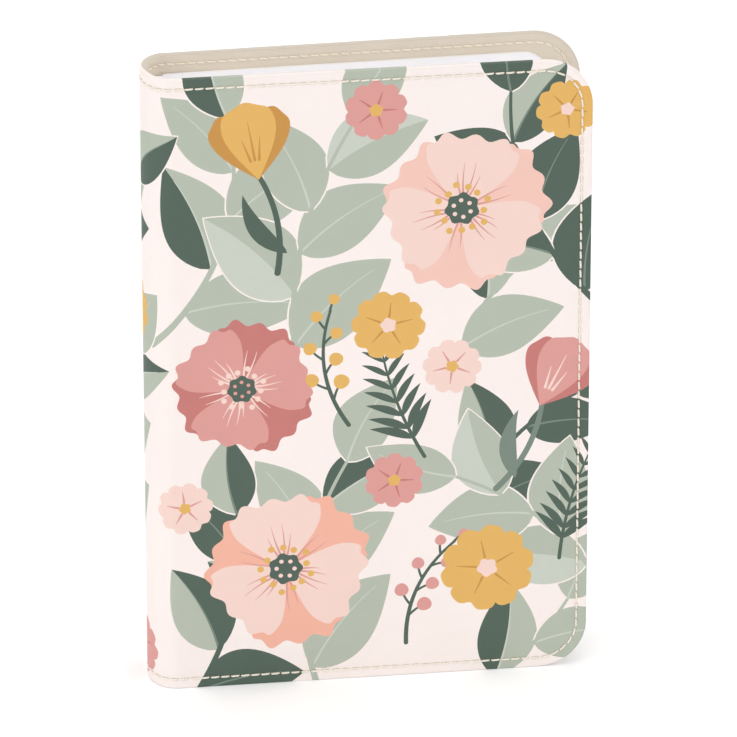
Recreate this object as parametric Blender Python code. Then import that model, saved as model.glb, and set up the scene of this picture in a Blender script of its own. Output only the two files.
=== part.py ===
"""Weekly planner with a stitched soft cover, standing on its lower edge.

Metres, +Z up. X runs from the spine to the fore-edge and Y from the front cover to the back cover.
The origin is in the middle of the footprint, on the surface that the planner stands on.

Every piece is drawn with the planner closed. Each cover, flyleaf and sewn section then hangs on an
empty on the hinge line of its own side, and that empty is turned by the small opening at rest.
"""

from math import cos
from math import pi
from math import radians
from math import sin

import bmesh
import bpy
import numpy as np
from mathutils import Matrix
from mathutils import Vector

# Cover: a printed skin, a thin core and a lining, cut flush and stitched along the edge
COVER_HEIGHT = 0.218
COVER_WIDTH = 0.145
COVER_CORNER_RADIUS = 0.016
SKIN_THICKNESS = 0.0008
CORE_THICKNESS = 0.0006
LINING_THICKNESS = 0.0006
GLUE_LINE = 0.0001
CORE_INSET = 0.0006

# Rounded spine, and the line on it where each cover bends
SPINE_DEPTH = 0.009
HINGE_ANGLE = 50.0
HINGE_GAP = 0.0003
HINGE_STANDOFF = 0.00015
REST_OPENING = 0.7

# Edge stitching: an outer needle thread and an inner bobbin thread, each sunk in a groove
STITCH_MARGIN = 0.0034
GROOVE_RADIUS = 0.00045
GROOVE_LIFT = 0.00005
THREAD_RADIUS = 0.00015
THREAD_DEPTH = 0.00018
THREAD_END_GAP = 0.0001

# Page block: folded sections sewn on a backing strip, between two endpapers
SECTION_COUNT = 14
SECTION_THICKNESS = 0.00115
SECTION_GAP = 0.0001
PAGE_MARGIN = 0.0063
PAGE_FORE_MARGIN = 0.011
PAGE_CORNER_RADIUS = 0.008
ENDPAPER_THICKNESS = 0.00025
ENDPAPER_GAP = 0.00015
PASTEDOWN_START = 0.001
SPINE_HOLLOW = 0.0003
BACKING_THICKNESS = 0.0004
BACKING_ANGLE = 48.0
BACKING_INSET = 0.002
FOLD_CLEARANCE = 0.0001

# Facets and cutter overrun
SPINE_STEPS = 14
SHOULDER_STEPS = 6
CORNER_STEPS = 7
FOLD_STEPS = 6
OVERRUN = 0.006
FLAT_RUN = 0.002
WELD_DISTANCE = 0.000001

FRONT = -1
BACK = 1

# Depths below the outer face of the cover
SKIN = (0.0, SKIN_THICKNESS)
CORE = (SKIN[1] + GLUE_LINE, SKIN[1] + GLUE_LINE + CORE_THICKNESS)
LINING = (CORE[1] + GLUE_LINE, CORE[1] + GLUE_LINE + LINING_THICKNESS)
COVER_THICKNESS = LINING[1]
PASTEDOWN = (COVER_THICKNESS + GLUE_LINE, COVER_THICKNESS + GLUE_LINE + ENDPAPER_THICKNESS)
FLYLEAF = (PASTEDOWN[1] + ENDPAPER_GAP, PASTEDOWN[1] + ENDPAPER_GAP + ENDPAPER_THICKNESS)
BACKING = (COVER_THICKNESS + SPINE_HOLLOW, COVER_THICKNESS + SPINE_HOLLOW + BACKING_THICKNESS)
FOLD_CENTRE_DEPTH = BACKING[1] + FOLD_CLEARANCE + SECTION_THICKNESS / 2

# Places worked out from the sizes above
SECTION_PITCH = SECTION_THICKNESS + SECTION_GAP
HALF_COUNT = SECTION_COUNT // 2
HALF_BLOCK = SECTION_COUNT * SECTION_PITCH / 2
HALF_THICKNESS = HALF_BLOCK + FLYLEAF[1]
FORE_EDGE_X = COVER_WIDTH / 2
SPINE_CENTRE_X = SPINE_DEPTH - COVER_WIDTH / 2
MIDDLE_Z = COVER_HEIGHT / 2


def cover_point(angle, depth, side):
    """A point of the cover's cross-section, at this angle round the spine and this far in from its face.

    Angle 0 is the middle of the spine and 90 degrees is where the flat cover starts.
    """
    inward = Vector((cos(angle) / SPINE_DEPTH, sin(angle) / HALF_THICKNESS)).normalized()
    x = SPINE_CENTRE_X - SPINE_DEPTH * cos(angle) + inward.x * depth
    y = HALF_THICKNESS * sin(angle) - inward.y * depth
    return Vector((x, side * y))


def angle_for(arc, angle):
    """The angle round the spine that spans this arc length at the given angle."""
    return arc / Vector((SPINE_DEPTH * sin(angle), HALF_THICKNESS * cos(angle))).length


HINGE = radians(HINGE_ANGLE)
HALF_HINGE_GAP = angle_for(HINGE_GAP / 2, HINGE)
SPINE_END = HINGE - HALF_HINGE_GAP
PANEL_START = HINGE + HALF_HINGE_GAP


def hinge_line(side):
    """The foot of the hinge line of one side, just outside the cover's outer face."""
    point = cover_point(HINGE, -HINGE_STANDOFF, side)
    return Vector((point.x, point.y, 0.0))


def opening_share(rank):
    """How much of its cover's opening a leaf follows. Rank 0 is the section next to the block's middle."""
    return (rank + 0.5) / (HALF_COUNT + 1.5)


FLYLEAF_SHARE = opening_share(HALF_COUNT)


def make_collection(name):
    collection = bpy.data.collections.new(name)
    bpy.context.scene.collection.children.link(collection)
    return collection


def make_material(name, colour, roughness):
    material = bpy.data.materials.new(name)
    material.use_nodes = True
    shader = material.node_tree.nodes["Principled BSDF"]
    shader.inputs["Base Color"].default_value = (*colour, 1.0)
    shader.inputs["Roughness"].default_value = roughness
    shader.inputs["Metallic"].default_value = 0.0
    return material


def hide_as_cutter(obj):
    obj.hide_render = True
    obj.display_type = "WIRE"


def make_curve_object(name, points, cyclic, collection):
    """A curve object of straight runs through the points."""
    curve = bpy.data.curves.new(name, "CURVE")
    spline = curve.splines.new("POLY")
    spline.points.add(len(points) - 1)
    for knot, point in zip(spline.points, points):
        knot.co = (*Vector(point).to_3d(), 1.0)
    spline.use_cyclic_u = cyclic
    obj = bpy.data.objects.new(name, curve)
    collection.objects.link(obj)
    return obj


def evaluated_mesh(obj):
    bpy.context.view_layer.update()
    return bpy.data.meshes.new_from_object(obj.evaluated_get(bpy.context.evaluated_depsgraph_get()))


def curve_to_mesh(obj):
    """Replaces a curve object by a welded mesh of the same name, with its place in the mesh."""
    mesh = evaluated_mesh(obj)
    mesh.transform(obj.matrix_world)
    shape = bmesh.new()
    shape.from_mesh(mesh)
    bmesh.ops.remove_doubles(shape, verts=shape.verts, dist=WELD_DISTANCE)
    bmesh.ops.recalc_face_normals(shape, faces=shape.faces)
    shape.to_mesh(mesh)
    shape.free()
    name = obj.name
    collection = obj.users_collection[0]
    bpy.data.objects.remove(obj)
    solid = bpy.data.objects.new(name, mesh)
    collection.objects.link(solid)
    return solid


def make_prism(name, outline, thickness, matrix, collection):
    """A flat outline given a thickness across its own plane, which the matrix then places."""
    obj = make_curve_object(name, outline, True, collection)
    obj.data.dimensions = "2D"
    obj.data.fill_mode = "BOTH"
    obj.data.extrude = thickness / 2
    obj.matrix_world = matrix
    return curve_to_mesh(obj)


def make_tube(name, points, radius, collection):
    obj = make_curve_object(name, points, False, collection)
    obj.data.dimensions = "3D"
    obj.data.bevel_depth = radius
    obj.data.bevel_resolution = 2
    obj.data.use_fill_caps = True
    return obj


def cut(piece, cutter, operation):
    """Applies one Boolean to a piece."""
    modifier = piece.modifiers.new(cutter.name, "BOOLEAN")
    modifier.operation = operation
    modifier.object = cutter
    mesh = evaluated_mesh(piece)
    piece.modifiers.clear()
    piece.data = mesh


def sheet_outline(inset, fore_inset, corner_radius):
    """Height outline of a sheet in X and Z, inset from the cover and round at the fore-edge."""
    left = -COVER_WIDTH
    right = FORE_EDGE_X - fore_inset
    low = inset
    high = COVER_HEIGHT - inset
    outline = [(left, low)]
    for step in range(CORNER_STEPS + 1):
        turn = step / CORNER_STEPS * pi / 2
        outline.append((right - corner_radius * (1 - sin(turn)), low + corner_radius * (1 - cos(turn))))
    for step in range(CORNER_STEPS + 1):
        turn = step / CORNER_STEPS * pi / 2
        outline.append((right - corner_radius * (1 - cos(turn)), high - corner_radius * (1 - sin(turn))))
    outline.append((left, high))
    return outline


def make_sheet_cutter(name, inset, fore_inset, corner_radius):
    """A block with the height outline of a sheet, for trimming what is drawn in cross-section."""
    upright = Matrix.Rotation(pi / 2, 4, "X")
    outline = sheet_outline(inset, fore_inset, corner_radius)
    cutter = make_prism(name, outline, COVER_WIDTH, upright, CUTTERS)
    hide_as_cutter(cutter)
    return cutter


def make_from_section(name, section, cutter):
    """A cross-section in X and Y, drawn up past both ends and trimmed to a sheet's height outline."""
    place = Matrix.Translation((0.0, 0.0, MIDDLE_Z))
    piece = make_prism(name, section, COVER_HEIGHT + 2 * OVERRUN, place, PARTS)
    cut(piece, cutter, "INTERSECT")
    return piece


def panel_section(depths, side):
    """Cross-section of one cover layer, from the hinge round the shoulder and out past the fore-edge."""
    end_x = FORE_EDGE_X + OVERRUN
    angles = np.linspace(PANEL_START, pi / 2, SHOULDER_STEPS + 1)
    outer = [cover_point(angle, depths[0], side) for angle in angles]
    inner = [cover_point(angle, depths[1], side) for angle in angles]
    outer.append(Vector((end_x, outer[-1].y)))
    inner.append(Vector((end_x, inner[-1].y)))
    return outer + inner[::-1]


def spine_section(depths, end_angle):
    """Cross-section of one layer round the spine, between equal angles on both sides."""
    angles = np.linspace(-end_angle, end_angle, SPINE_STEPS + 1)
    outer = [cover_point(angle, depths[0], BACK) for angle in angles]
    inner = [cover_point(angle, depths[1], BACK) for angle in angles]
    return outer + inner[::-1]


def leaf_section(start_x, depths, side):
    """Cross-section of one flat leaf, from start_x out past the fore-edge."""
    near = side * (HALF_THICKNESS - depths[0])
    far = side * (HALF_THICKNESS - depths[1])
    end_x = FORE_EDGE_X + OVERRUN
    return [(start_x, near), (end_x, near), (end_x, far), (start_x, far)]


def fold_x(offset):
    """Where the fold of a section lies, so that the folds follow the round of the spine."""
    angles = np.linspace(0.0, pi / 2, 4 * SPINE_STEPS + 1)
    points = [cover_point(angle, FOLD_CENTRE_DEPTH, BACK) for angle in angles]
    return float(np.interp(abs(offset), [point.y for point in points], [point.x for point in points]))


def folded_section(offset):
    """Cross-section of one sewn section: a slab of leaves whose spine edge is a round fold."""
    radius = SECTION_THICKNESS / 2
    centre_x = fold_x(offset)
    end_x = FORE_EDGE_X + OVERRUN
    outline = [(end_x, offset - radius)]
    for step in range(FOLD_STEPS + 1):
        turn = step / FOLD_STEPS * pi
        outline.append((centre_x - radius * sin(turn), offset - radius * cos(turn)))
    outline.append((end_x, offset + radius))
    return outline


def facet_middles(start, end, steps):
    """The angles half-way along each facet, so that a stitch line never bends on a facet's edge."""
    edges = np.linspace(start, end, steps + 1)
    return (edges[:-1] + edges[1:]) / 2


def panel_stitch_path(depth, side, start_angle):
    """The stitch line of one cover: along the top edge, down the fore-edge and back along the bottom edge."""
    radius = COVER_CORNER_RADIUS - STITCH_MARGIN
    centre_x = FORE_EDGE_X - COVER_CORNER_RADIUS
    flat_y = side * (HALF_THICKNESS - depth)
    angles = [start_angle, *facet_middles(PANEL_START, pi / 2, SHOULDER_STEPS)]
    shoulder = [cover_point(angle, depth, side) for angle in angles]
    shoulder.append(Vector((SPINE_CENTRE_X + FLAT_RUN, flat_y)))
    upper = [Vector((point.x, point.y, COVER_HEIGHT - STITCH_MARGIN)) for point in shoulder]
    corner = []
    for step in range(CORNER_STEPS + 1):
        turn = step / CORNER_STEPS * pi / 2
        rise = COVER_HEIGHT - COVER_CORNER_RADIUS + radius * cos(turn)
        corner.append(Vector((centre_x + radius * sin(turn), flat_y, rise)))
    upper += corner
    lower = [Vector((point.x, point.y, COVER_HEIGHT - point.z)) for point in upper]
    return upper + lower[::-1]


def spine_stitch_path(depth, end_angle, height):
    """The stitch line across the spine at one height."""
    angles = [-end_angle, *facet_middles(-SPINE_END, SPINE_END, SPINE_STEPS), end_angle]
    points = [cover_point(angle, depth, BACK) for angle in angles]
    return [Vector((point.x, point.y, height)) for point in points]


def make_groove(piece, path):
    """Sinks the stitch line into the face of a skin or a lining."""
    cutter = curve_to_mesh(make_tube(piece.name + "_groove", path, GROOVE_RADIUS, CUTTERS))
    hide_as_cutter(cutter)
    cut(piece, cutter, "DIFFERENCE")


def make_hinge_empty(name, side, share):
    """An empty on the hinge line of one side, turned by this share of the cover's opening at rest."""
    empty = bpy.data.objects.new(name, None)
    PARTS.objects.link(empty)
    empty.location = hinge_line(side)
    empty.rotation_euler.z = side * radians(share * REST_OPENING)
    return empty


def hang(piece, empty):
    """Hangs a piece, drawn closed, on an empty on its hinge line."""
    piece.parent = empty
    piece.matrix_parent_inverse = Matrix.Translation(-empty.location)


def finish(piece, material):
    piece.data.materials.clear()
    piece.data.materials.append(material)


def build_cover(name, side):
    """One cover: skin, core, lining, the pastedown glued inside it, and its two threads."""
    empty = make_hinge_empty(name + "_hinge", side, 1.0)
    skin = make_from_section(name + "_skin", panel_section(SKIN, side), COVER_OUTLINE)
    core = make_from_section(name + "_core", panel_section(CORE, side), CORE_OUTLINE)
    lining = make_from_section(name + "_lining", panel_section(LINING, side), COVER_OUTLINE)
    make_groove(skin, panel_stitch_path(-GROOVE_LIFT, side, SPINE_END))
    make_groove(lining, panel_stitch_path(COVER_THICKNESS + GROOVE_LIFT, side, SPINE_END))
    thread_start = PANEL_START + angle_for(THREAD_END_GAP, HINGE)
    needle_path = panel_stitch_path(THREAD_DEPTH, side, thread_start)
    bobbin_path = panel_stitch_path(COVER_THICKNESS - THREAD_DEPTH, side, thread_start)
    needle = make_tube(name + "_needle_thread", needle_path, THREAD_RADIUS, PARTS)
    bobbin = make_tube(name + "_bobbin_thread", bobbin_path, THREAD_RADIUS, PARTS)
    leaf = leaf_section(SPINE_CENTRE_X + PASTEDOWN_START, PASTEDOWN, side)
    pastedown = make_from_section(name + "_pastedown", leaf, PAGE_OUTLINE)
    finish(skin, PRINTED_LEATHERETTE)
    finish(core, GREY_BOARD)
    finish(lining, BEIGE_LEATHERETTE)
    finish(needle, CREAM_THREAD)
    finish(bobbin, CREAM_THREAD)
    finish(pastedown, WHITE_PAPER)
    for piece in (skin, core, lining, needle, bobbin, pastedown):
        hang(piece, empty)


def build_spine():
    """The middle of the wrap-round cover, with its stitching at the top and the bottom."""
    skin = make_from_section("spine_skin", spine_section(SKIN, SPINE_END), COVER_OUTLINE)
    core = make_from_section("spine_core", spine_section(CORE, SPINE_END), CORE_OUTLINE)
    lining = make_from_section("spine_lining", spine_section(LINING, SPINE_END), COVER_OUTLINE)
    thread_end = SPINE_END - angle_for(THREAD_END_GAP, HINGE)
    heights = {"top": COVER_HEIGHT - STITCH_MARGIN, "bottom": STITCH_MARGIN}
    for label, height in heights.items():
        make_groove(skin, spine_stitch_path(-GROOVE_LIFT, PANEL_START, height))
        make_groove(lining, spine_stitch_path(COVER_THICKNESS + GROOVE_LIFT, PANEL_START, height))
        needle_path = spine_stitch_path(THREAD_DEPTH, thread_end, height)
        bobbin_path = spine_stitch_path(COVER_THICKNESS - THREAD_DEPTH, thread_end, height)
        needle = make_tube("spine_needle_thread_" + label, needle_path, THREAD_RADIUS, PARTS)
        bobbin = make_tube("spine_bobbin_thread_" + label, bobbin_path, THREAD_RADIUS, PARTS)
        finish(needle, CREAM_THREAD)
        finish(bobbin, CREAM_THREAD)
    finish(skin, PRINTED_LEATHERETTE)
    finish(core, GREY_BOARD)
    finish(lining, BEIGE_LEATHERETTE)


def build_backing():
    """The glued cloth strip that holds the folds of the sections together."""
    outline = spine_section(BACKING, radians(BACKING_ANGLE))
    backing = make_from_section("spine_backing", outline, BACKING_OUTLINE)
    finish(backing, BACKING_CLOTH)


def build_flyleaf(name, side):
    """The free half of one endpaper."""
    leaf = make_from_section(name, leaf_section(SPINE_CENTRE_X, FLYLEAF, side), PAGE_OUTLINE)
    finish(leaf, WHITE_PAPER)
    hang(leaf, make_hinge_empty(name + "_hinge", side, FLYLEAF_SHARE))


def build_sections():
    """The sewn sections, numbered from the front. Each half of the block opens with the cover next to it."""
    for index in range(SECTION_COUNT):
        offset = (index + 0.5) * SECTION_PITCH - HALF_BLOCK
        side = FRONT if index < HALF_COUNT else BACK
        rank = HALF_COUNT - 1 - index if side == FRONT else index - HALF_COUNT
        name = f"section_{index + 1:02d}"
        section = make_from_section(name, folded_section(offset), PAGE_OUTLINE)
        finish(section, WHITE_PAPER)
        hang(section, make_hinge_empty(name + "_hinge", side, opening_share(rank)))


for leftover in list(bpy.data.objects):
    bpy.data.objects.remove(leftover)

PARTS = make_collection("weekly_planner")
CUTTERS = make_collection("cutters")

PRINTED_LEATHERETTE = make_material("printed_leatherette", (0.98, 0.89, 0.86), 0.55)
BEIGE_LEATHERETTE = make_material("beige_leatherette", (0.69, 0.60, 0.50), 0.6)
GREY_BOARD = make_material("grey_board", (0.62, 0.60, 0.57), 0.9)
CREAM_THREAD = make_material("cream_thread", (0.91, 0.83, 0.66), 0.7)
WHITE_PAPER = make_material("white_paper", (0.91, 0.90, 0.92), 0.85)
BACKING_CLOTH = make_material("backing_cloth", (0.86, 0.84, 0.80), 0.9)

BACKING_MARGIN = PAGE_MARGIN + BACKING_INSET
COVER_OUTLINE = make_sheet_cutter("cover_outline", 0.0, 0.0, COVER_CORNER_RADIUS)
CORE_OUTLINE = make_sheet_cutter("core_outline", CORE_INSET, CORE_INSET, COVER_CORNER_RADIUS - CORE_INSET)
PAGE_OUTLINE = make_sheet_cutter("page_outline", PAGE_MARGIN, PAGE_FORE_MARGIN, PAGE_CORNER_RADIUS)
BACKING_OUTLINE = make_sheet_cutter("backing_outline", BACKING_MARGIN, PAGE_FORE_MARGIN, PAGE_CORNER_RADIUS)

build_spine()
build_cover("front_cover", FRONT)
build_cover("back_cover", BACK)
build_backing()
build_flyleaf("front_flyleaf", FRONT)
build_flyleaf("back_flyleaf", BACK)
build_sections()
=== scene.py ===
"""Weekly planner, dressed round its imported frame.

A printed leatherette wrap with stitched edges goes round a block of folded sections. Sizes are in
metres and the flower print is drawn in millimetres. Each layer of the wrap is laid out flat, by its
run from the middle of the spine and its height, and is then carried round the spine. In the flat
layout the front cover has positive runs and the back cover has negative ones.
"""

import logging
from collections.abc import Callable
from collections.abc import Iterable
from dataclasses import dataclass
from dataclasses import field
from enum import Enum
from functools import cached_property
from math import cos
from math import pi
from math import radians
from math import sin
from typing import Any

import bpy
import numpy as np
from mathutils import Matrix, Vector
from mathutils.geometry import delaunay_2d_cdt

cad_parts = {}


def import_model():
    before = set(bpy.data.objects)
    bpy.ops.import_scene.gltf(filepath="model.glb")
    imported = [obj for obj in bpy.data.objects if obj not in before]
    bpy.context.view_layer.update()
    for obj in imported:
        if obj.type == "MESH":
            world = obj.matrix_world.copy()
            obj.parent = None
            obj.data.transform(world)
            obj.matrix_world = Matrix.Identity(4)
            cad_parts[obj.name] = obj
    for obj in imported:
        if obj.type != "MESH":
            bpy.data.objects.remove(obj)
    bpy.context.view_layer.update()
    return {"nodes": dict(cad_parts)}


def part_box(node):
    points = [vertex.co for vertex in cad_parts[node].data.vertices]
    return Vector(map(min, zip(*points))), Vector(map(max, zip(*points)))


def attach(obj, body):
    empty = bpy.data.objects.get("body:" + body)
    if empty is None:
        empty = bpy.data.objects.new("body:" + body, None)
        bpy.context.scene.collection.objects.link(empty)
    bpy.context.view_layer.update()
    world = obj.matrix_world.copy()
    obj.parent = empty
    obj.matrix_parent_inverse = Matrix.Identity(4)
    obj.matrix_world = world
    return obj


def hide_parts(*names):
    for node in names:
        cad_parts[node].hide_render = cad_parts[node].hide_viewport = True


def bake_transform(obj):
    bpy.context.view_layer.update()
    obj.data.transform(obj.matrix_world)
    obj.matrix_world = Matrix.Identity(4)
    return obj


LOG = logging.getLogger("planner")
MM = 0.001
SHARP_ANGLE = radians(42.0)
Inputs = dict[str | int, Any]
Colour = tuple[int, int, int]
Span = tuple[float, float, float, float]
Shape = tuple[np.ndarray, "Ink"]


class Side(Enum):
    """The two covers, by the sign of their Y."""

    FRONT = -1
    BACK = 1

    @property
    def label(self) -> str:
        """Name of the side, as the frame's nodes spell it."""
        return self.name.lower()


class Face(Enum):
    """The two faces of the wrap that carry a line of stitches."""

    OUTER = "needle"
    INNER = "bobbin"


def linear(colour: Colour) -> tuple[float, float, float, float]:
    """Turns an sRGB colour of whole numbers into the linear colour that a shader takes.

    Args:
        colour: Red, green and blue from 0 to 255.

    Returns:
        Linear red, green and blue, and an alpha of 1.
    """
    share = np.asarray(colour) / 255.0
    values = np.where(share <= 0.04045, share / 12.92, ((share + 0.055) / 1.055) ** 2.4)
    return (*(float(value) for value in values), 1.0)


# Meshes from whole arrays


@dataclass
class Patch:
    """A mesh worked out as whole arrays.

    Faces hold four corners each, and a triangle has -1 as its last one.
    """

    points: np.ndarray
    faces: np.ndarray

    def make(self, name: str, material: bpy.types.Material) -> bpy.types.Object:
        """Puts the arrays into a mesh object of one material, smooth except at hard edges.

        Args:
            name: Name of the piece.
            material: Finish of all its faces.

        Returns:
            The new object, linked to the scene.
        """
        real = self.faces >= 0
        corners = self.faces[real].astype(np.int32)
        sizes = real.sum(axis=1)
        mesh = bpy.data.meshes.new(name)
        mesh.vertices.add(len(self.points))
        mesh.vertices.foreach_set("co", self.points.astype(np.float32).ravel())
        mesh.loops.add(len(corners))
        mesh.loops.foreach_set("vertex_index", corners)
        mesh.polygons.add(len(sizes))
        mesh.polygons.foreach_set("loop_start", (np.cumsum(sizes) - sizes).astype(np.int32))
        mesh.materials.append(material)
        mesh.update(calc_edges=True)
        mesh.shade_smooth()
        mesh.set_sharp_from_angle(angle=SHARP_ANGLE)
        obj = bpy.data.objects.new(name, mesh)
        bpy.context.scene.collection.objects.link(obj)
        return obj


def grid_faces(rows: int, columns: int, ring: bool = False) -> np.ndarray:
    """Quads of a grid whose points run column by column within each row.

    Args:
        rows: Number of rows of points.
        columns: Number of points in a row.
        ring: Whether each row closes on itself.

    Returns:
        Corner numbers, four per quad.
    """
    index = np.arange(rows * columns).reshape(rows, columns)
    if ring:
        index = np.concatenate((index, index[:, :1]), axis=1)
    corners = (index[:-1, :-1], index[:-1, 1:], index[1:, 1:], index[1:, :-1])
    return np.stack(corners, axis=-1).reshape(-1, 4)


def padded_faces(*groups: np.ndarray) -> np.ndarray:
    """Joins triangles and quads into one array, with -1 after the third corner of a triangle."""
    return np.concatenate([
        np.pad(faces, ((0, 0), (0, 4 - faces.shape[1])), constant_values=-1) for faces in groups
    ])


@dataclass
class FlatMesh:
    """Triangles of one layer of the wrap, laid out flat, with the topmost shape that each lies in."""

    points: np.ndarray
    triangles: np.ndarray
    owners: np.ndarray

    @cached_property
    def rim(self) -> tuple[np.ndarray, np.ndarray]:
        """Boundary edges, each with the layer on its left, and the triangle that each belongs to."""
        turns = ((0, 1), (1, 2), (2, 0))
        edges = np.concatenate([self.triangles[:, turn] for turn in turns])
        homes = np.tile(np.arange(len(self.triangles)), len(turns))
        keys = edges.min(axis=1) * len(self.points) + edges.max(axis=1)
        _, where, counts = np.unique(keys, return_index=True, return_counts=True)
        single = where[counts == 1]
        return edges[single], homes[single]


def triangulate(outline: np.ndarray, lines: list[np.ndarray], shapes: list[np.ndarray]) -> FlatMesh:
    """Fills an outline with triangles that follow every given line and the edge of every shape.

    Args:
        outline: Closed outline of the layer, counter-clockwise, in metres.
        lines: Open lines along which the layer will bend.
        shapes: Closed outlines of printed shapes, in drawing order.

    Returns:
        The triangles inside the outline. Owner 0 is the bare layer and owner n is shape n - 1.
    """
    loops = [outline, *shapes]
    parts = [*loops, *lines]
    starts = np.cumsum([0] + [len(part) for part in parts])
    faces = [list(range(first, first + len(loop))) for first, loop in zip(starts, loops)]
    edges = [
        (number, number + 1)
        for first, line in zip(starts[len(loops):], lines)
        for number in range(first, first + len(line) - 1)
    ]
    flat = [Vector(point) for point in (np.concatenate(parts) / MM).tolist()]
    only_inside, weld, with_ids = 1, 1e-4, True
    points, _, triangles, _, _, ids = delaunay_2d_cdt(flat, edges, faces, only_inside, weld, with_ids)
    inside = np.array([0 in owner for owner in ids])
    top = np.array([max(owner, default=0) for owner in ids])
    used, corners = np.unique(np.array(triangles)[inside], return_inverse=True)
    return FlatMesh(np.array(points)[used] * MM, corners.reshape(-1, 3), top[inside])


# The form of the wrap


@dataclass(frozen=True)
class CoverForm:
    """Rounded spine and flat covers as one wrap, and where a point of it lies at rest.

    The spine is half an ellipse of spine_depth by half_thickness. Each cover turns about a hinge line
    at hinge_angle round it, and the bend is spread over half_bend on both sides of that line.
    """

    height: float
    width: float
    corner: float = 0.016
    thickness: float = 0.0022
    spine_depth: float = 0.009
    half_thickness: float = 0.0117
    hinge_angle: float = radians(50.0)
    hinge_standoff: float = 0.00015
    opening: float = radians(0.7)
    half_bend: float = 0.0032
    least_corner: float = 0.0005
    # points along lines of the flat layout
    arc_points: int = 2001
    corner_points: int = 15
    edge_points: int = 96
    side_points: int = 32
    upright_points: int = 60
    # upright lines of the flat layout
    spine_lines: int = 6
    spine_starts: tuple[float, float] = (0.00005, 0.0012)
    hinge_lines: int = 18
    hinge_reach: float = 0.0034
    hinge_gaps: tuple[float, float] = (0.0009, 0.0008)
    past_shoulder: float = 0.001

    @classmethod
    def of_frame(cls) -> "CoverForm":
        """Form of the frame's own height and width, standing on Z 0 with the spine at its lowest X."""
        low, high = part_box("spine_skin")
        return cls(height=round(high.z, 6), width=round(-2 * low.x, 6))

    @property
    def centre_x(self) -> float:
        """Where the rounded spine goes over into the flat covers."""
        return self.spine_depth - self.width / 2

    @cached_property
    def arc(self) -> tuple[np.ndarray, np.ndarray]:
        """Angles round a quarter of the spine, and the run from its middle up to each of them."""
        angles = np.linspace(0.0, pi / 2, self.arc_points)
        speed = np.hypot(self.spine_depth * np.sin(angles), self.half_thickness * np.cos(angles))
        steps = (speed[1:] + speed[:-1]) / 2 * np.diff(angles)
        return angles, np.concatenate(([0.0], np.cumsum(steps)))

    @property
    def shoulder(self) -> float:
        """Run from the middle of the spine to where the flat cover starts."""
        return float(self.arc[1][-1])

    @property
    def reach(self) -> float:
        """Run from the middle of the spine to the fore-edge."""
        return self.shoulder + self.width - self.spine_depth

    def section(self, angle: Any, depth: Any) -> tuple[np.ndarray, np.ndarray]:
        """Point of the closed wrap's cross-section: on an ellipse, moved in along its normal.

        Args:
            angle: Angle round the spine, from its middle.
            depth: How far in from the outer face.

        Returns:
            X, and Y as a distance from the middle of the block.
        """
        inward_x = np.cos(angle) / self.spine_depth
        inward_y = np.sin(angle) / self.half_thickness
        length = np.hypot(inward_x, inward_y)
        x = self.centre_x - self.spine_depth * np.cos(angle) + inward_x / length * depth
        y = self.half_thickness * np.sin(angle) - inward_y / length * depth
        return x, y

    @property
    def hinge(self) -> tuple[float, float]:
        """X and distance from the middle of the block of each hinge line."""
        x, y = self.section(self.hinge_angle, -self.hinge_standoff)
        return float(x), float(y)

    @property
    def tangent(self) -> tuple[float, float]:
        """Direction of the wrap where it crosses the hinge line."""
        angle = self.hinge_angle
        step = Vector((self.spine_depth * sin(angle), self.half_thickness * cos(angle)))
        return tuple(step.normalized())

    def turned(self, x: np.ndarray, y: np.ndarray, share: Any) -> tuple[np.ndarray, np.ndarray]:
        """Turns points about the hinge line by a share of the opening at rest.

        Args:
            x: Closed X.
            y: Closed distance from the middle of the block.
            share: Share of the opening that each point follows.

        Returns:
            X and distance from the middle at rest.
        """
        hinge_x, hinge_y = self.hinge
        turn = self.opening * np.asarray(share)
        dx, dy = x - hinge_x, y - hinge_y
        return (
            hinge_x + dx * np.cos(turn) - dy * np.sin(turn),
            hinge_y + dx * np.sin(turn) + dy * np.cos(turn),
        )

    def place(self, flat: np.ndarray, depth: np.ndarray, side: Side) -> np.ndarray:
        """Carries points of the flat layout round the spine, with the cover open as it is at rest.

        Args:
            flat: Runs and heights.
            depth: How far each point lies in from the outer face.
            side: Which cover the points belong to.

        Returns:
            Points in the frame, three numbers each.
        """
        run, height = np.abs(flat[..., 0]), flat[..., 1]
        angles, runs = self.arc
        x, y = self.section(np.interp(run, runs, angles), depth)
        x = x + np.maximum(run - self.shoulder, 0.0)
        hinge_x, hinge_y = self.hinge
        along = (x - hinge_x) * self.tangent[0] + (y - hinge_y) * self.tangent[1]
        share = np.clip(along / (2 * self.half_bend) + 0.5, 0.0, 1.0)
        x, y = self.turned(x, y, share * share * (3 - 2 * share))
        return np.stack((x, side.value * y, height), axis=-1)

    def edge_distance(self, flat: np.ndarray) -> np.ndarray:
        """Distance of flat points from the cut edge: straight sides and two rounded corners.

        Args:
            flat: Runs and heights.

        Returns:
            Distance of each point.
        """
        to_fore = self.reach - np.abs(flat[..., 0])
        to_end = np.minimum(flat[..., 1], self.height - flat[..., 1])
        round_off = self.corner - np.hypot(self.corner - to_fore, self.corner - to_end)
        in_corner = (to_fore < self.corner) & (to_end < self.corner)
        return np.where(in_corner, round_off, np.minimum(to_fore, to_end))

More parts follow.
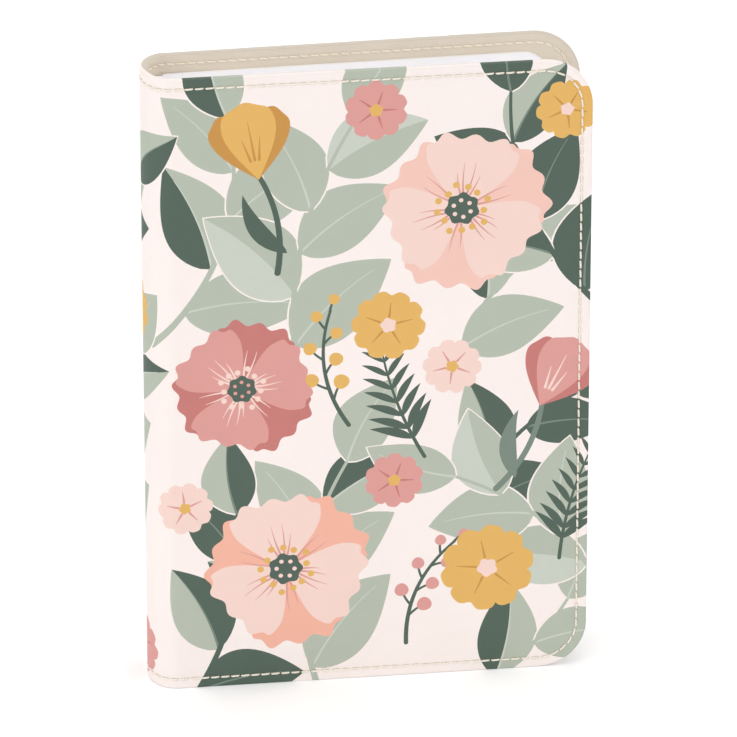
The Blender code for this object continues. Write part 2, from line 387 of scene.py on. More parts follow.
    def ring(self, inset: float, side: Side) -> np.ndarray:
        """Line at one distance from the cut edge, from the spine's lower end round to its upper end.

        Args:
            inset: Distance from the cut edge.
            side: Which cover the line is on.

        Returns:
            Flat points, lower edge first.
        """
        radius = max(self.corner - inset, self.least_corner)
        centre = self.reach - inset - radius
        turns = np.linspace(0.0, pi / 2, self.corner_points)
        along = np.linspace(0.0, centre, self.edge_points)[:-1]
        up = np.linspace(inset + radius, self.height / 2, self.side_points)[1:]
        runs = np.concatenate((along, centre + radius * np.sin(turns), np.full(len(up), centre + radius)))
        rises = np.concatenate((np.full(len(along), inset), inset + radius * (1 - np.cos(turns)), up))
        runs = np.concatenate((runs, runs[-2::-1]))
        rises = np.concatenate((rises, self.height - rises[-2::-1]))
        return np.stack((-side.value * runs, rises), axis=-1)

    def bend_lines(self, side: Side) -> list[np.ndarray]:
        """Upright lines round the spine and across the hinge, close together where the wrap bends.

        Args:
            side: Which cover the lines belong to.

        Returns:
            Flat points of each line, from the foot up.
        """
        bend = float(np.interp(self.hinge_angle, *self.arc))
        tight = np.linspace(bend - self.hinge_reach, bend + self.hinge_reach, self.hinge_lines)
        low = np.linspace(self.spine_starts[1], tight[0] - self.hinge_gaps[0], self.spine_lines)
        last = self.shoulder + self.past_shoulder
        high = np.linspace(tight[-1] + self.hinge_gaps[1], last, self.spine_lines)
        runs = np.concatenate((self.spine_starts[:1], low, tight, high))
        heights = np.linspace(0.0, self.height, self.upright_points)
        return [np.stack((np.full_like(heights, -side.value * run), heights), axis=-1) for run in runs]


# The flower print


class Ink(Enum):
    """Colours of the print."""

    GROUND = (253, 242, 238)
    SAGE = (184, 192, 177)
    MIST = (204, 210, 198)
    PINE = (85, 102, 91)
    MOSS = (124, 139, 128)
    MUSTARD = (231, 183, 103)
    OCHRE = (205, 150, 78)
    BLUSH = (248, 217, 207)
    SHELL = (247, 203, 190)
    PEACH = (246, 184, 163)
    ROSE = (224, 160, 154)
    BRICK = (202, 126, 121)


PETAL_POINTS = 80
DENT_SPREAD = 0.32
LEAF_POINTS = 22
LEAF_BELLY = 0.78
LEAF_BLUNTNESS = 0.9
FOOT_POINTS = 8
STEM_POINTS = 40


@dataclass(frozen=True)
class Frill:
    """Rim of a petal: dent of its tip and height of its waves, as shares, and how many waves go round."""

    notch: float
    ruffle: float
    waves: int


def turned(points: np.ndarray, angle: float, at: Any = (0.0, 0.0)) -> np.ndarray:
    """Turns flat points about the origin and then moves them."""
    matrix = np.array(((cos(angle), sin(angle)), (-sin(angle), cos(angle))))
    return points @ matrix + np.asarray(at)


def petal(length: float, width: float, frill: Frill) -> np.ndarray:
    """Outline of a petal along X: a sine drop, with a wavy rim and a dent at the tip.

    Args:
        length: From base to tip.
        width: At its widest, past the middle.
        frill: Dent and waves of its rim.

    Returns:
        Closed outline.
    """
    t = np.linspace(0.0, 2 * pi, PETAL_POINTS, endpoint=False)
    reach = np.sin(t / 2)
    dent = frill.notch * np.exp(-(((t - pi) / DENT_SPREAD) ** 2))
    rim = (1 + frill.ruffle * reach**4 * np.cos(frill.waves * (t - pi))) * (1 - dent)
    return np.stack((length * reach * rim, width / 2 * np.sin(t) * rim), axis=-1)


def leaf(length: float, width: float, bow: float, lower: float = -1.0) -> np.ndarray:
    """Outline of a pointed leaf along X, on an arched midrib.

    Args:
        length: From stalk to tip.
        width: At its widest.
        bow: Height of the arch as a share of the length.
        lower: Lower edge as a share of the half width, -1 for a whole leaf and 0 for an upper half.

    Returns:
        Closed outline.
    """
    s = np.linspace(0.0, 1.0, LEAF_POINTS)
    half = width / 2 * np.sin(pi * s**LEAF_BELLY) ** LEAF_BLUNTNESS
    rib = 4 * bow * length * s * (1 - s)
    upper_side = np.stack((length * s, rib + half), axis=-1)
    lower_side = np.stack((length * s, rib + lower * half), axis=-1)
    return np.concatenate((lower_side, upper_side[-2:0:-1]))


def disc(radius: float, wobble: float = 0.0, lobes: int = 5, count: int = 22) -> np.ndarray:
    """Outline of a round spot whose radius waves.

    Args:
        radius: Mean radius.
        wobble: Share by which the radius waves.
        lobes: How many waves go round.
        count: Points of the outline.

    Returns:
        Closed outline.
    """
    t = np.linspace(0.0, 2 * pi, count, endpoint=False)
    r = radius * (1 + wobble * np.sin(lobes * t))
    return np.stack((r * np.cos(t), r * np.sin(t)), axis=-1)


def dots(
    count: int, radius: float, reach: Callable[[int], float], start: float, points: int
) -> list[np.ndarray]:
    """Outlines of round dots in a ring.

    Args:
        count: How many there are.
        radius: Radius of a dot.
        reach: Distance of a dot from the middle, by its number.
        start: Angle of the first one.
        points: Points of each outline.

    Returns:
        Closed outlines.
    """
    angles = [number * 2 * pi / count + start for number in range(count)]
    return [
        disc(radius, count=points) + (reach(number) * cos(angle), reach(number) * sin(angle))
        for number, angle in enumerate(angles)
    ]


def stroke(path: np.ndarray, first: float, last: float) -> np.ndarray:
    """Outline of a brush stroke along a path.

    Args:
        path: Middle line of the stroke.
        first: Width at its foot.
        last: Width at its tip.

    Returns:
        Closed outline: up one side, back along the other, and in a half circle round the foot.
    """
    step = np.gradient(path, axis=0)
    step /= np.linalg.norm(step, axis=1, keepdims=True)
    normal = np.stack((-step[:, 1], step[:, 0]), axis=-1)
    half = np.linspace(first, last, len(path))[:, None] / 2 * normal
    turn = np.linspace(0.0, pi, FOOT_POINTS)[1:-1, None]
    foot = path[0] + first / 2 * (np.cos(turn) * normal[0] - np.sin(turn) * step[0])
    return np.concatenate((path - half, (path + half)[::-1], foot))


def stem_path(length: float, bow: float, count: int = 24) -> np.ndarray:
    """Path of a stem along X, as a parabola whose height is a share of its length."""
    s = np.linspace(0.0, 1.0, count)
    return np.stack((length * s, 4 * bow * length * s * (1 - s)), axis=-1)


@dataclass(frozen=True)
class Poppy:
    """Broad frilled petals in two layers, fine veins, and a dark heart in a ring of dots.

    Lengths are shares of the bloom's radius, and widths of lines are in millimetres.
    """

    petals: int = 3
    breadth: float = 1.12
    upper_trim: float = 0.06
    frill: Frill = Frill(0.05, 0.055, 9)
    uneven: float = 0.05
    petal_phase: float = 3.1
    vein_spreads: tuple[float, ...] = (-0.3, -0.1, 0.12, 0.3)
    vein_reach: float = 0.62
    vein_fan: float = 0.5
    vein_bow: float = 0.03
    vein_phase: float = 5.0
    vein_points: int = 7
    vein_width: tuple[float, float] = (0.75, 0.12)
    heart: float = 0.2
    heart_wobble: float = 0.09
    heart_lobes: int = 7
    heart_points: int = 32
    dots: int = 13
    dot: float = 0.042
    dot_reach: float = 0.29
    dot_uneven: float = 0.035
    dot_phase: float = 2.3
    dot_points: int = 12
    seeds: int = 6
    seed: float = 0.028
    seed_reach: float = 0.11
    seed_start: float = 0.3
    seed_points: int = 10

    def vein(self, radius: float, spread: float, number: int) -> np.ndarray:
        """Outline of one vein, from the heart outwards.

        Args:
            radius: Radius of the bloom.
            spread: Angle from the middle of its petal.
            number: Number of the petal.

        Returns:
            Closed outline, with its petal along X.
        """
        foot = radius * self.heart
        wave = self.uneven * cos(self.vein_phase * spread + number)
        reach = radius * (self.vein_reach - self.vein_fan * abs(spread) + wave)
        bow = self.vein_bow if spread > 0 else -self.vein_bow
        return stroke(stem_path(reach - foot, bow, self.vein_points) + (foot, 0.0), *self.vein_width)

    def shapes(self, spray: "Spray") -> list[Shape]:
        """Draws the bloom.

        Args:
            spray: Its size, and its inks: petals above, petals below, veins, heart and dots.

        Returns:
            Its shapes, lowest first.
        """
        face, under, vein, heart, dot = spray.inks
        radius = spray.size / 2
        shapes: list[Shape] = []
        for layer, ink in enumerate((under, face)):
            for number in range(self.petals):
                angle = (2 * number + layer) * pi / self.petals
                wave = self.uneven * cos(self.petal_phase * number + layer)
                length = radius * (1.0 - self.upper_trim * layer + wave)
                frilled = petal(length, radius * self.breadth, self.frill)
                shapes.append((turned(frilled, angle), ink))
                for spread in self.vein_spreads:
                    shapes.append((turned(self.vein(radius, spread, number), angle + spread), vein))
        middle = disc(radius * self.heart, self.heart_wobble, self.heart_lobes, self.heart_points)

        def dot_reach(number: int) -> float:
            """Uneven distance of a dot from the middle."""
            return radius * (self.dot_reach + self.dot_uneven * cos(self.dot_phase * number))

        def seed_reach(_: int) -> float:
            """Even distance of a seed from the middle."""
            return radius * self.seed_reach

        ring = dots(self.dots, radius * self.dot, dot_reach, 0.0, self.dot_points)
        seeds = dots(self.seeds, radius * self.seed, seed_reach, self.seed_start, self.seed_points)
        shapes.append((middle, heart))
        return shapes + [(outline, dot) for outline in ring] + [(outline, face) for outline in seeds]


@dataclass(frozen=True)
class Tulip:
    """A cup of three upright petals on a stem, seen from the side.

    Lengths are shares of the bloom's height, and widths of lines are in millimetres.
    """

    stalk: float = 1.32
    stalk_bow: float = 0.09
    stalk_inside: float = 0.07
    stalk_width: tuple[float, float] = (2.1, 1.7)
    blade: tuple[float, float] = (0.95, 0.22)
    blade_bow: float = 0.12
    blade_turn: float = 0.42
    blade_at: tuple[float, float] = (-1.02, -0.16)
    outer: tuple[float, float] = (0.94, 0.5)
    outer_lean: float = 0.36
    outer_frill: Frill = Frill(0.0, 0.02, 5)
    breadth: float = 0.66
    middle_frill: Frill = Frill(0.0, 0.015, 6)
    vein_spreads: tuple[float, ...] = (-0.2, 0.0, 0.2)
    vein_reach: float = 0.5
    vein_foot: float = 0.26
    vein_points: int = 7
    vein_width: tuple[float, float] = (0.95, 0.2)

    def shapes(self, spray: "Spray") -> list[Shape]:
        """Draws the bloom, its stalk and one blade.

        Args:
            spray: Its size, and its inks: middle petal, outer petals, veins and stalk.

        Returns:
            Its shapes, lowest first.
        """
        face, under, vein, stalk = spray.inks
        size = spray.size
        stem = turned(stem_path(size * self.stalk, self.stalk_bow), pi, (size * self.stalk_inside, 0.0))
        long, wide, foot_x, foot_y = (size * share for share in (*self.blade, *self.blade_at))
        blade = turned(leaf(long, wide, self.blade_bow), self.blade_turn, (foot_x, foot_y))
        outer = petal(size * self.outer[0], size * self.outer[1], self.outer_frill)
        shapes: list[Shape] = [(stroke(stem[::-1], *self.stalk_width), stalk), (blade, stalk)]
        shapes += [(turned(outer, lean), under) for lean in (-self.outer_lean, self.outer_lean)]
        shapes.append((petal(size, size * self.breadth, self.middle_frill), face))
        for spread in self.vein_spreads:
            path = stem_path(size * (self.vein_reach - abs(spread)), 0.0, self.vein_points)
            line = stroke(path + (size * self.vein_foot, 0.0), *self.vein_width)
            shapes.append((turned(line, spread), vein))
        return shapes


@dataclass(frozen=True)
class Blossom:
    """Five heart-shaped petals round a small eye.

    Lengths are shares of the bloom's radius, and widths of lines are in millimetres.
    """

    petals: int = 5
    breadth: float = 0.98
    frill: Frill = Frill(0.16, 0.02, 4)
    vein: float = 0.4
    vein_foot: float = 0.24
    vein_points: int = 5
    vein_width: tuple[float, float] = (0.8, 0.25)
    eye: float = 0.2
    eye_wobble: float = 0.12
    eye_lobes: int = 5
    eye_points: int = 24

    def shapes(self, spray: "Spray") -> list[Shape]:
        """Draws the bloom.

        Args:
            spray: Its size, and its inks: petals, veins and eye.

        Returns:
            Its shapes, lowest first.
        """
        face, vein, eye = spray.inks
        radius = spray.size / 2
        heart_shape = petal(radius, radius * self.breadth, self.frill)
        path = stem_path(radius * self.vein, 0.0, self.vein_points) + (radius * self.vein_foot, 0.0)
        line = stroke(path, *self.vein_width)
        shapes: list[Shape] = []
        for number in range(self.petals):
            angle = number * 2 * pi / self.petals
            shapes += [(turned(heart_shape, angle), face), (turned(line, angle), vein)]
        return [*shapes, (disc(radius * self.eye, self.eye_wobble, self.eye_lobes, self.eye_points), eye)]


@dataclass(frozen=True)
class Branch:
    """A stem with broad pointed leaves on alternate sides, each with a bare rim and some half shaded.

    Spacing, rim and widths of lines are in millimetres, and the other lengths are shares.
    """

    spacing: float = 19.0
    fewest: int = 2
    bare_foot: float = 0.2
    tilt: float = 0.9
    closing: float = 0.25
    taper: float = 0.2
    breadth: float = 0.58
    uneven: float = 0.04
    leaf_phase: float = 2.0
    arch: float = 0.06
    rim: float = 0.55
    shaded_of: int = 3
    rib_points: int = 15
    rib_shown: int = 13
    rib_width: tuple[float, float] = (0.8, 0.25)
    stem_width: tuple[float, float] = (2.3, 1.0)

    def shapes(self, spray: "Spray") -> list[Shape]:
        """Draws the leaves from the foot up, and the stem on top of them.

        Args:
            spray: Its size, bow and length of leaf, and its inks: leaf, shaded half and midrib.

        Returns:
            Its shapes, lowest first.
        """
        blade, shade, rib = spray.inks
        path, lean = spray.stem
        top = STEM_POINTS - 1
        count = max(self.fewest, round(spray.size / self.spacing))
        shapes: list[Shape] = []
        for number in range(count + 1):
            spot = min(int((self.bare_foot + (1 - self.bare_foot) * number / count) * top), top)
            tilt = self.tilt - self.closing * number / count
            way = 0.0 if number == count else tilt if number % 2 else -tilt
            length = spray.leaf * (1.0 - self.taper * (number / count))
            width = length * (self.breadth + self.uneven * cos(self.leaf_phase * number + spray.turn))
            arch = -self.arch if way > 0 else self.arch
            rim = leaf(length + 2 * self.rim, width + 2 * self.rim, arch) - (self.rim, 0.0)
            midrib = stroke(stem_path(length, arch, self.rib_points)[:self.rib_shown], *self.rib_width)
            parts = [(rim, Ink.GROUND), (leaf(length, width, arch), blade)]
            if number % self.shaded_of == 1:
                parts.append((leaf(length, width, arch, lower=0.0), shade))
            parts.append((midrib, rib))
            shapes += [(turned(outline, lean[spot] + way, path[spot]), ink) for outline, ink in parts]
        return [*shapes, (stroke(path, *self.stem_width), blade)]


@dataclass(frozen=True)
class Fern:
    """A fine stem with pairs of narrow leaflets that shorten to the tip.

    Lengths are shares of the stem, or of the leaflet, and widths of lines are in millimetres.
    """

    pairs: int = 9
    first_point: int = 6
    point_step: float = 3.9
    longest: float = 0.3
    shortening: float = 0.021
    tilt: float = 0.85
    breadth: float = 0.21
    bow: float = 0.05
    tip: tuple[float, float] = (0.14, 0.04)
    stem_width: tuple[float, float] = (1.3, 0.5)

    def shapes(self, spray: "Spray") -> list[Shape]:
        """Draws the stem and its leaflets.

        Args:
            spray: Its size and bow, and its one ink.

        Returns:
            Its shapes.
        """
        (blade,) = spray.inks
        path, lean = spray.stem
        outlines = [stroke(path, *self.stem_width)]
        for number in range(self.pairs):
            spot = self.first_point + int(number * self.point_step)
            length = spray.size * (self.longest - self.shortening * number)
            for way in (-1, 1):
                leaflet = leaf(length, length * self.breadth, -way * self.bow)
                outlines.append(turned(leaflet, lean[spot] + way * self.tilt, path[spot]))
        tip = leaf(spray.size * self.tip[0], spray.size * self.tip[1], bow=0.0)
        outlines.append(turned(tip, lean[-1], path[-2]))
        return [(outline, blade) for outline in outlines]


@dataclass(frozen=True)
class Berries:
    """A twig with round berries on short stalks, the last one at its tip.

    Lengths are shares of the twig, and widths of lines are in millimetres.
    """

    count: int = 7
    first_point: int = 9
    point_step: float = 4.9
    tilt: float = 0.75
    stalk: float = 0.17
    stalk_shortening: float = 0.008
    stalk_bow: float = 0.05
    stalk_points: int = 8
    stalk_width: tuple[float, float] = (0.9, 0.7)
    berry: float = 0.062
    berry_shrinking: float = 0.003
    berry_wobble: float = 0.03
    berry_lobes: int = 3
    berry_points: int = 20
    twig_width: tuple[float, float] = (1.5, 0.9)

    def shapes(self, spray: "Spray") -> list[Shape]:
        """Draws the twig, and each stalk with its berry.

        Args:
            spray: Its size and bow, and its inks: berries and twig.

        Returns:
            Its shapes, lowest first.
        """
        fruit, wood = spray.inks
        path, lean = spray.stem
        shapes: list[Shape] = [(stroke(path, *self.twig_width), wood)]
        for number in range(self.count):
            spot = min(self.first_point + int(number * self.point_step), STEM_POINTS - 1)
            way = 0.0 if number == self.count - 1 else self.tilt if number % 2 else -self.tilt
            length = spray.size * (self.stalk - self.stalk_shortening * number)
            stalk = stem_path(length, self.stalk_bow, self.stalk_points)
            shapes.append((turned(stroke(stalk, *self.stalk_width), lean[spot] + way, path[spot]), wood))
            radius = spray.size * (self.berry - self.berry_shrinking * number)
            berry = disc(radius, self.berry_wobble, self.berry_lobes, self.berry_points)
            shapes.append((berry + turned(stalk[-1:], lean[spot] + way, path[spot]), fruit))
        return shapes


class Motif(Enum):
    """Kinds of plant in the print, each drawn round the origin or from it along X."""

    POPPY = Poppy()
    TULIP = Tulip()
    BLOSSOM = Blossom()
    BRANCH = Branch()
    FERN = Fern()
    BERRIES = Berries()


@dataclass(frozen=True)
class Spray:
    """One plant of the print: where it is in the flat layout, how big, which way up, and its inks."""

    motif: Motif
    at: tuple[float, float]
    size: float
    turn: float
    inks: tuple[Ink, ...]
    bow: float = 0.12
    leaf: float = 36.0

    @property
    def stem(self) -> tuple[np.ndarray, list[float]]:
        """Path of the plant's stem, and the direction in which it leans at each point."""
        path = stem_path(self.size, self.bow, STEM_POINTS)
        step = np.gradient(path, axis=0)
        return path, np.arctan2(step[:, 1], step[:, 0]).tolist()


@dataclass(frozen=True)
class CoverPrint:
    """The loose flower print: leaves and stems below, blooms on top of them."""

    sprays: tuple[Spray, ...]

    def shapes(self, low: float, high: float) -> list[Shape]:
        """All shapes that reach between two runs, in drawing order.

        Args:
            low: Lowest run, in metres.
            high: Highest run, in metres.

        Returns:
            Closed counter-clockwise outlines in metres, each with its ink.
        """
        found: list[Shape] = []
        for spray in self.sprays:
            for outline, ink in spray.motif.value.shapes(spray):
                points = turned(outline, radians(spray.turn), spray.at) * MM
                if points[:, 0].max() > low and points[:, 0].min() < high:
                    (x, y), (next_x, next_y) = points.T, np.roll(points, -1, axis=0).T
                    counter_clockwise = (x * next_y - y * next_x).sum() > 0
                    found.append((points if counter_clockwise else points[::-1], ink))
        return found


BLUSH_POPPY = (Ink.BLUSH, Ink.SHELL, Ink.ROSE, Ink.PINE, Ink.MUSTARD)
PEACH_POPPY = (Ink.BLUSH, Ink.PEACH, Ink.ROSE, Ink.PINE, Ink.MUSTARD)
ROSE_POPPY = (Ink.ROSE, Ink.BRICK, Ink.BLUSH, Ink.PINE, Ink.BLUSH)
MUSTARD_POPPY = (Ink.MUSTARD, Ink.OCHRE, Ink.GROUND, Ink.PINE, Ink.BLUSH)
MUSTARD_TULIP = (Ink.MUSTARD, Ink.OCHRE, Ink.OCHRE, Ink.PINE)
ROSE_TULIP = (Ink.ROSE, Ink.BRICK, Ink.BLUSH, Ink.MOSS)
MUSTARD_BLOSSOM = (Ink.MUSTARD, Ink.OCHRE, Ink.BLUSH)
BLUSH_BLOSSOM = (Ink.BLUSH, Ink.ROSE, Ink.MUSTARD)
ROSE_BLOSSOM = (Ink.ROSE, Ink.BRICK, Ink.MUSTARD)
SAGE_BRANCH = (Ink.SAGE, Ink.PINE, Ink.MIST)
PINE_BRANCH = (Ink.PINE, Ink.SAGE, Ink.MOSS)
PALE_BRANCH = (Ink.SAGE, Ink.MIST, Ink.MIST)

SPRAYS = (
    # leaves and stems, front cover
    Spray(Motif.BRANCH, (66, -12), 92, 86, SAGE_BRANCH, 0.12, 42),
    Spray(Motif.BRANCH, (14, -14), 80, 74, PINE_BRANCH, -0.1, 36),
    Spray(Motif.BRANCH, (94, -16), 66, 38, SAGE_BRANCH, -0.1, 38),
    Spray(Motif.BRANCH, (111, 45), 66, 56, PINE_BRANCH, 0.14, 35),
    Spray(Motif.BRANCH, (166, 8), 86, 132, PALE_BRANCH, -0.12, 40),
    Spray(Motif.BRANCH, (8, 124), 84, 72, SAGE_BRANCH, -0.14, 42),
    Spray(Motif.BRANCH, (58, 104), 98, 80, PALE_BRANCH, 0.1, 43),
    Spray(Motif.BRANCH, (108, 110), 46, 58, SAGE_BRANCH, 0.1, 36),
    Spray(Motif.BRANCH, (163, 124), 92, 114, PINE_BRANCH, 0.12, 38),
    Spray(Motif.FERN, (98, 80), 50, 108, (Ink.PINE,), 0.05),
    Spray(Motif.FERN, (143, 40), 46, 74, (Ink.PINE,), 0.05),
    Spray(Motif.BERRIES, (73, 93), 42, 98, (Ink.MUSTARD, Ink.PINE)),
    Spray(Motif.BERRIES, (92, 12), 40, 66, (Ink.ROSE, Ink.PINE)),
    # blooms, front cover
    Spray(Motif.TULIP, (44, 182), 27, 100, MUSTARD_TULIP),
    Spray(Motif.POPPY, (110, 168), 54, 20, BLUSH_POPPY),
    Spray(Motif.POPPY, (38, 108), 46, 75, ROSE_POPPY),
    Spray(Motif.BLOSSOM, (86, 128), 25, 12, MUSTARD_BLOSSOM),
    Spray(Motif.BLOSSOM, (107, 112), 20, 48, BLUSH_BLOSSOM),
    Spray(Motif.TULIP, (136, 96), 26, 64, ROSE_TULIP),
    Spray(Motif.POPPY, (52, 42), 54, 40, PEACH_POPPY),
    Spray(Motif.BLOSSOM, (119, 38), 32, 30, MUSTARD_BLOSSOM),
    Spray(Motif.BLOSSOM, (82, 204), 21, 0, ROSE_BLOSSOM),
    Spray(Motif.BLOSSOM, (144, 201), 21, 60, MUSTARD_BLOSSOM),
    Spray(Motif.BLOSSOM, (19, 66), 19, 25, BLUSH_BLOSSOM),
    Spray(Motif.BLOSSOM, (88, 72), 20, 70, ROSE_BLOSSOM),
    # leaves and stems, spine and back cover
    Spray(Motif.BRANCH, (-14, 28), 90, 84, SAGE_BRANCH),
    Spray(Motif.BRANCH, (-24, 146), 74, 104, PALE_BRANCH, -0.1),
    Spray(Motif.BRANCH, (-66, -8), 96, 78, PINE_BRANCH),
    Spray(Motif.BRANCH, (-112, -6), 92, 98, SAGE_BRANCH, -0.12),
    Spray(Motif.BRANCH, (-158, 58), 92, 52, PALE_BRANCH),
    Spray(Motif.BRANCH, (-64, 106), 96, 112, SAGE_BRANCH),
    Spray(Motif.BRANCH, (-148, 128), 96, 78, PINE_BRANCH, -0.1),
    Spray(Motif.BRANCH, (-34, 112), 74, 66, PINE_BRANCH),
    Spray(Motif.FERN, (-92, 72), 54, 70, (Ink.SAGE,), 0.05),
    Spray(Motif.FERN, (-132, 102), 48, 116, (Ink.PINE,), 0.05),
    Spray(Motif.BERRIES, (-78, 140), 48, 62, (Ink.MUSTARD, Ink.PINE)),
    Spray(Motif.BERRIES, (-34, 6), 46, 112, (Ink.ROSE, Ink.PINE)),
    # blooms, spine and back cover
    Spray(Motif.BLOSSOM, (-6, 134), 24, 40, MUSTARD_BLOSSOM),
    Spray(Motif.BLOSSOM, (-2, 12), 22, 15, ROSE_BLOSSOM),
    Spray(Motif.POPPY, (-44, 176), 50, 30, MUSTARD_POPPY),
    Spray(Motif.POPPY, (-112, 178), 54, 10, ROSE_POPPY),
    Spray(Motif.POPPY, (-44, 84), 52, 55, BLUSH_POPPY),
    Spray(Motif.TULIP, (-92, 112), 28, 96, MUSTARD_TULIP),
    Spray(Motif.POPPY, (-122, 52), 50, 80, BLUSH_POPPY),
    Spray(Motif.TULIP, (-66, 34), 27, 70, ROSE_TULIP),
    Spray(Motif.BLOSSOM, (-140, 112), 26, 20, MUSTARD_BLOSSOM),
    Spray(Motif.BLOSSOM, (-78, 206), 22, 50, BLUSH_BLOSSOM),
    Spray(Motif.BLOSSOM, (-94, 14), 24, 35, MUSTARD_BLOSSOM),
    Spray(Motif.BLOSSOM, (-20, 44), 20, 5, BLUSH_BLOSSOM),
)


# Shader graphs and shared groups


class Graph:
    """A short way to place and join the nodes of one tree."""

    def __init__(self, tree: bpy.types.NodeTree) -> None:
        """Takes the tree to work in."""
        self.tree = tree

    def add(self, kind: str, inputs: Inputs | None = None, **settings: Any) -> bpy.types.Node:
        """Places a node, sets its properties, and sets or joins its inputs.

        Args:
            kind: Blender's name of the node type.
            inputs: Values or output sockets, by input name or number.
            settings: Properties of the node.

        Returns:
            The new node.
        """
        node = self.tree.nodes.new(kind)
        for name, value in settings.items():
            setattr(node, name, value)
        for name, value in (inputs or {}).items():
            if isinstance(value, bpy.types.NodeSocket):
                self.tree.links.new(value, node.inputs[name])
            else:
                node.inputs[name].default_value = value
        return node

    def math(self, operation: str, *values: Any) -> bpy.types.NodeSocket:
        """Result of one Math node."""
        return self.add("ShaderNodeMath", dict(enumerate(values)), operation=operation).outputs[0]

    def mix(self, factor: Any, first: Any, second: Any, blend: str = "MIX") -> bpy.types.NodeSocket:
        """Result of mixing two colours."""
        inputs = {0: factor, 6: first, 7: second}
        return self.add("ShaderNodeMix", inputs, data_type="RGBA", blend_type=blend).outputs[2]

    def span(self, value: Any, low: float, high: float, first: float, last: float) -> bpy.types.NodeSocket:
        """A value carried from one range to another and kept inside it."""
        return self.add("ShaderNodeMapRange", {0: value, 1: low, 2: high, 3: first, 4: last}).outputs[0]

    def vector(self, operation: str, first: Any, second: Any) -> bpy.types.NodeSocket:
        """Result of one Vector Math node."""
        return self.add("ShaderNodeVectorMath", {0: first, 1: second}, operation=operation).outputs[0]

    def noise(self, vector: Any, scale: Any, **inputs: float) -> bpy.types.NodeSocket:
        """Value of a Noise texture."""
        return self.add("ShaderNodeTexNoise", {"Vector": vector, "Scale": scale, **inputs}).outputs["Fac"]

    def grey(self, value: Any) -> bpy.types.NodeSocket:
        """A grey of one value."""
        return self.add("ShaderNodeCombineColor", {0: value, 1: value, 2: value}).outputs[0]

    def bump(self, height: Any, strength: float, distance: float) -> bpy.types.NodeSocket:
        """Normal of a surface that is raised by a height."""
        inputs = {"Height": height, "Strength": strength, "Distance": distance}
        return self.add("ShaderNodeBump", inputs).outputs[0]

    def place(self) -> bpy.types.NodeSocket:
        """Object coordinates, which are those of the frame."""
        return self.add("ShaderNodeTexCoord").outputs["Object"]

    def attribute(self, name: str, output: str) -> bpy.types.NodeSocket:
        """What the mesh itself stores under a name."""
        return self.add("ShaderNodeAttribute", attribute_name=name).outputs[output]

    def shown(self) -> bpy.types.NodeSocket:
        """1 for a ray that shows the background, straight, in gloss or through glass, and 0 for others."""
        path = self.add("ShaderNodeLightPath").outputs
        through = self.math("MAXIMUM", path["Is Glossy Ray"], path["Is Transmission Ray"])
        return self.math("MAXIMUM", path["Is Camera Ray"], through)

    def fill(self, tree: bpy.types.NodeTree, inputs: Inputs) -> bpy.types.bpy_prop_collection:
        """Outputs of a shared group, with its inputs set or joined."""
        return self.add("ShaderNodeGroup", inputs, node_tree=tree).outputs

    def join(self, node: bpy.types.Node, **sockets: bpy.types.NodeSocket) -> None:
        """Joins outputs to a node's inputs, by name with _ for a space."""
        for name, value in sockets.items():
            self.tree.links.new(value, node.inputs[name.replace("_", " ")])


def new_group(name: str, inputs: dict[str, str], outputs: dict[str, str]) -> tuple[Graph, Any, Any]:
    """Starts a shared node group.

    Args:
        name: Name of the group.
        inputs: Socket type of each input, by name.
        outputs: Socket type of each output, by name.

    Returns:
        The group's graph, its input node and its output node.
    """
    tree = bpy.data.node_groups.new(name, "ShaderNodeTree")
    for names, way in ((inputs, "INPUT"), (outputs, "OUTPUT")):
        for label, kind in names.items():
            tree.interface.new_socket(label, in_out=way, socket_type=kind)
    graph = Graph(tree)
    return graph, graph.add("NodeGroupInput"), graph.add("NodeGroupOutput")


def grain_group() -> bpy.types.NodeTree:
    """Embossed leatherette grain: pebbles with creases between them, and a slow change of tone.

    Returns:
        A group with inputs Vector and Pebbles, how many go to a metre, and outputs Height and Tone.
    """
    warp_scale, warp_reach = 420.0, 0.0007
    crease, roundness = 0.32, 0.55
    fine_scale, fine_share = 5200.0, 0.22
    tone_scale, tone_roughness = 46.0, 0.6
    graph, given, result = new_group(
        "leatherette_grain",
        {"Vector": "NodeSocketVector", "Pebbles": "NodeSocketFloat"},
        {"Height": "NodeSocketFloat", "Tone": "NodeSocketFloat"},
    )
    vector, pebbles = given.outputs["Vector"], given.outputs["Pebbles"]
    warp = graph.add("ShaderNodeTexNoise", {"Vector": vector, "Scale": warp_scale, "Detail": 2.0})
    offset = graph.vector("MULTIPLY", warp.outputs["Color"], (warp_reach,) * 3)
    inputs = {"Vector": graph.vector("ADD", vector, offset), "Scale": pebbles}
    cells = graph.add("ShaderNodeTexVoronoi", inputs, feature="DISTANCE_TO_EDGE")
    pebble = graph.span(cells.outputs["Distance"], 0.0, crease, 0.0, 1.0)
    round_top = graph.math("POWER", pebble, roundness)
    fine = graph.noise(vector, fine_scale, Detail=2.0)
    height = graph.math("MULTIPLY_ADD", fine, fine_share, round_top)
    tone = graph.noise(vector, tone_scale, Detail=4.0, Roughness=tone_roughness)
    graph.join(result, Height=height, Tone=tone)
    return graph.tree


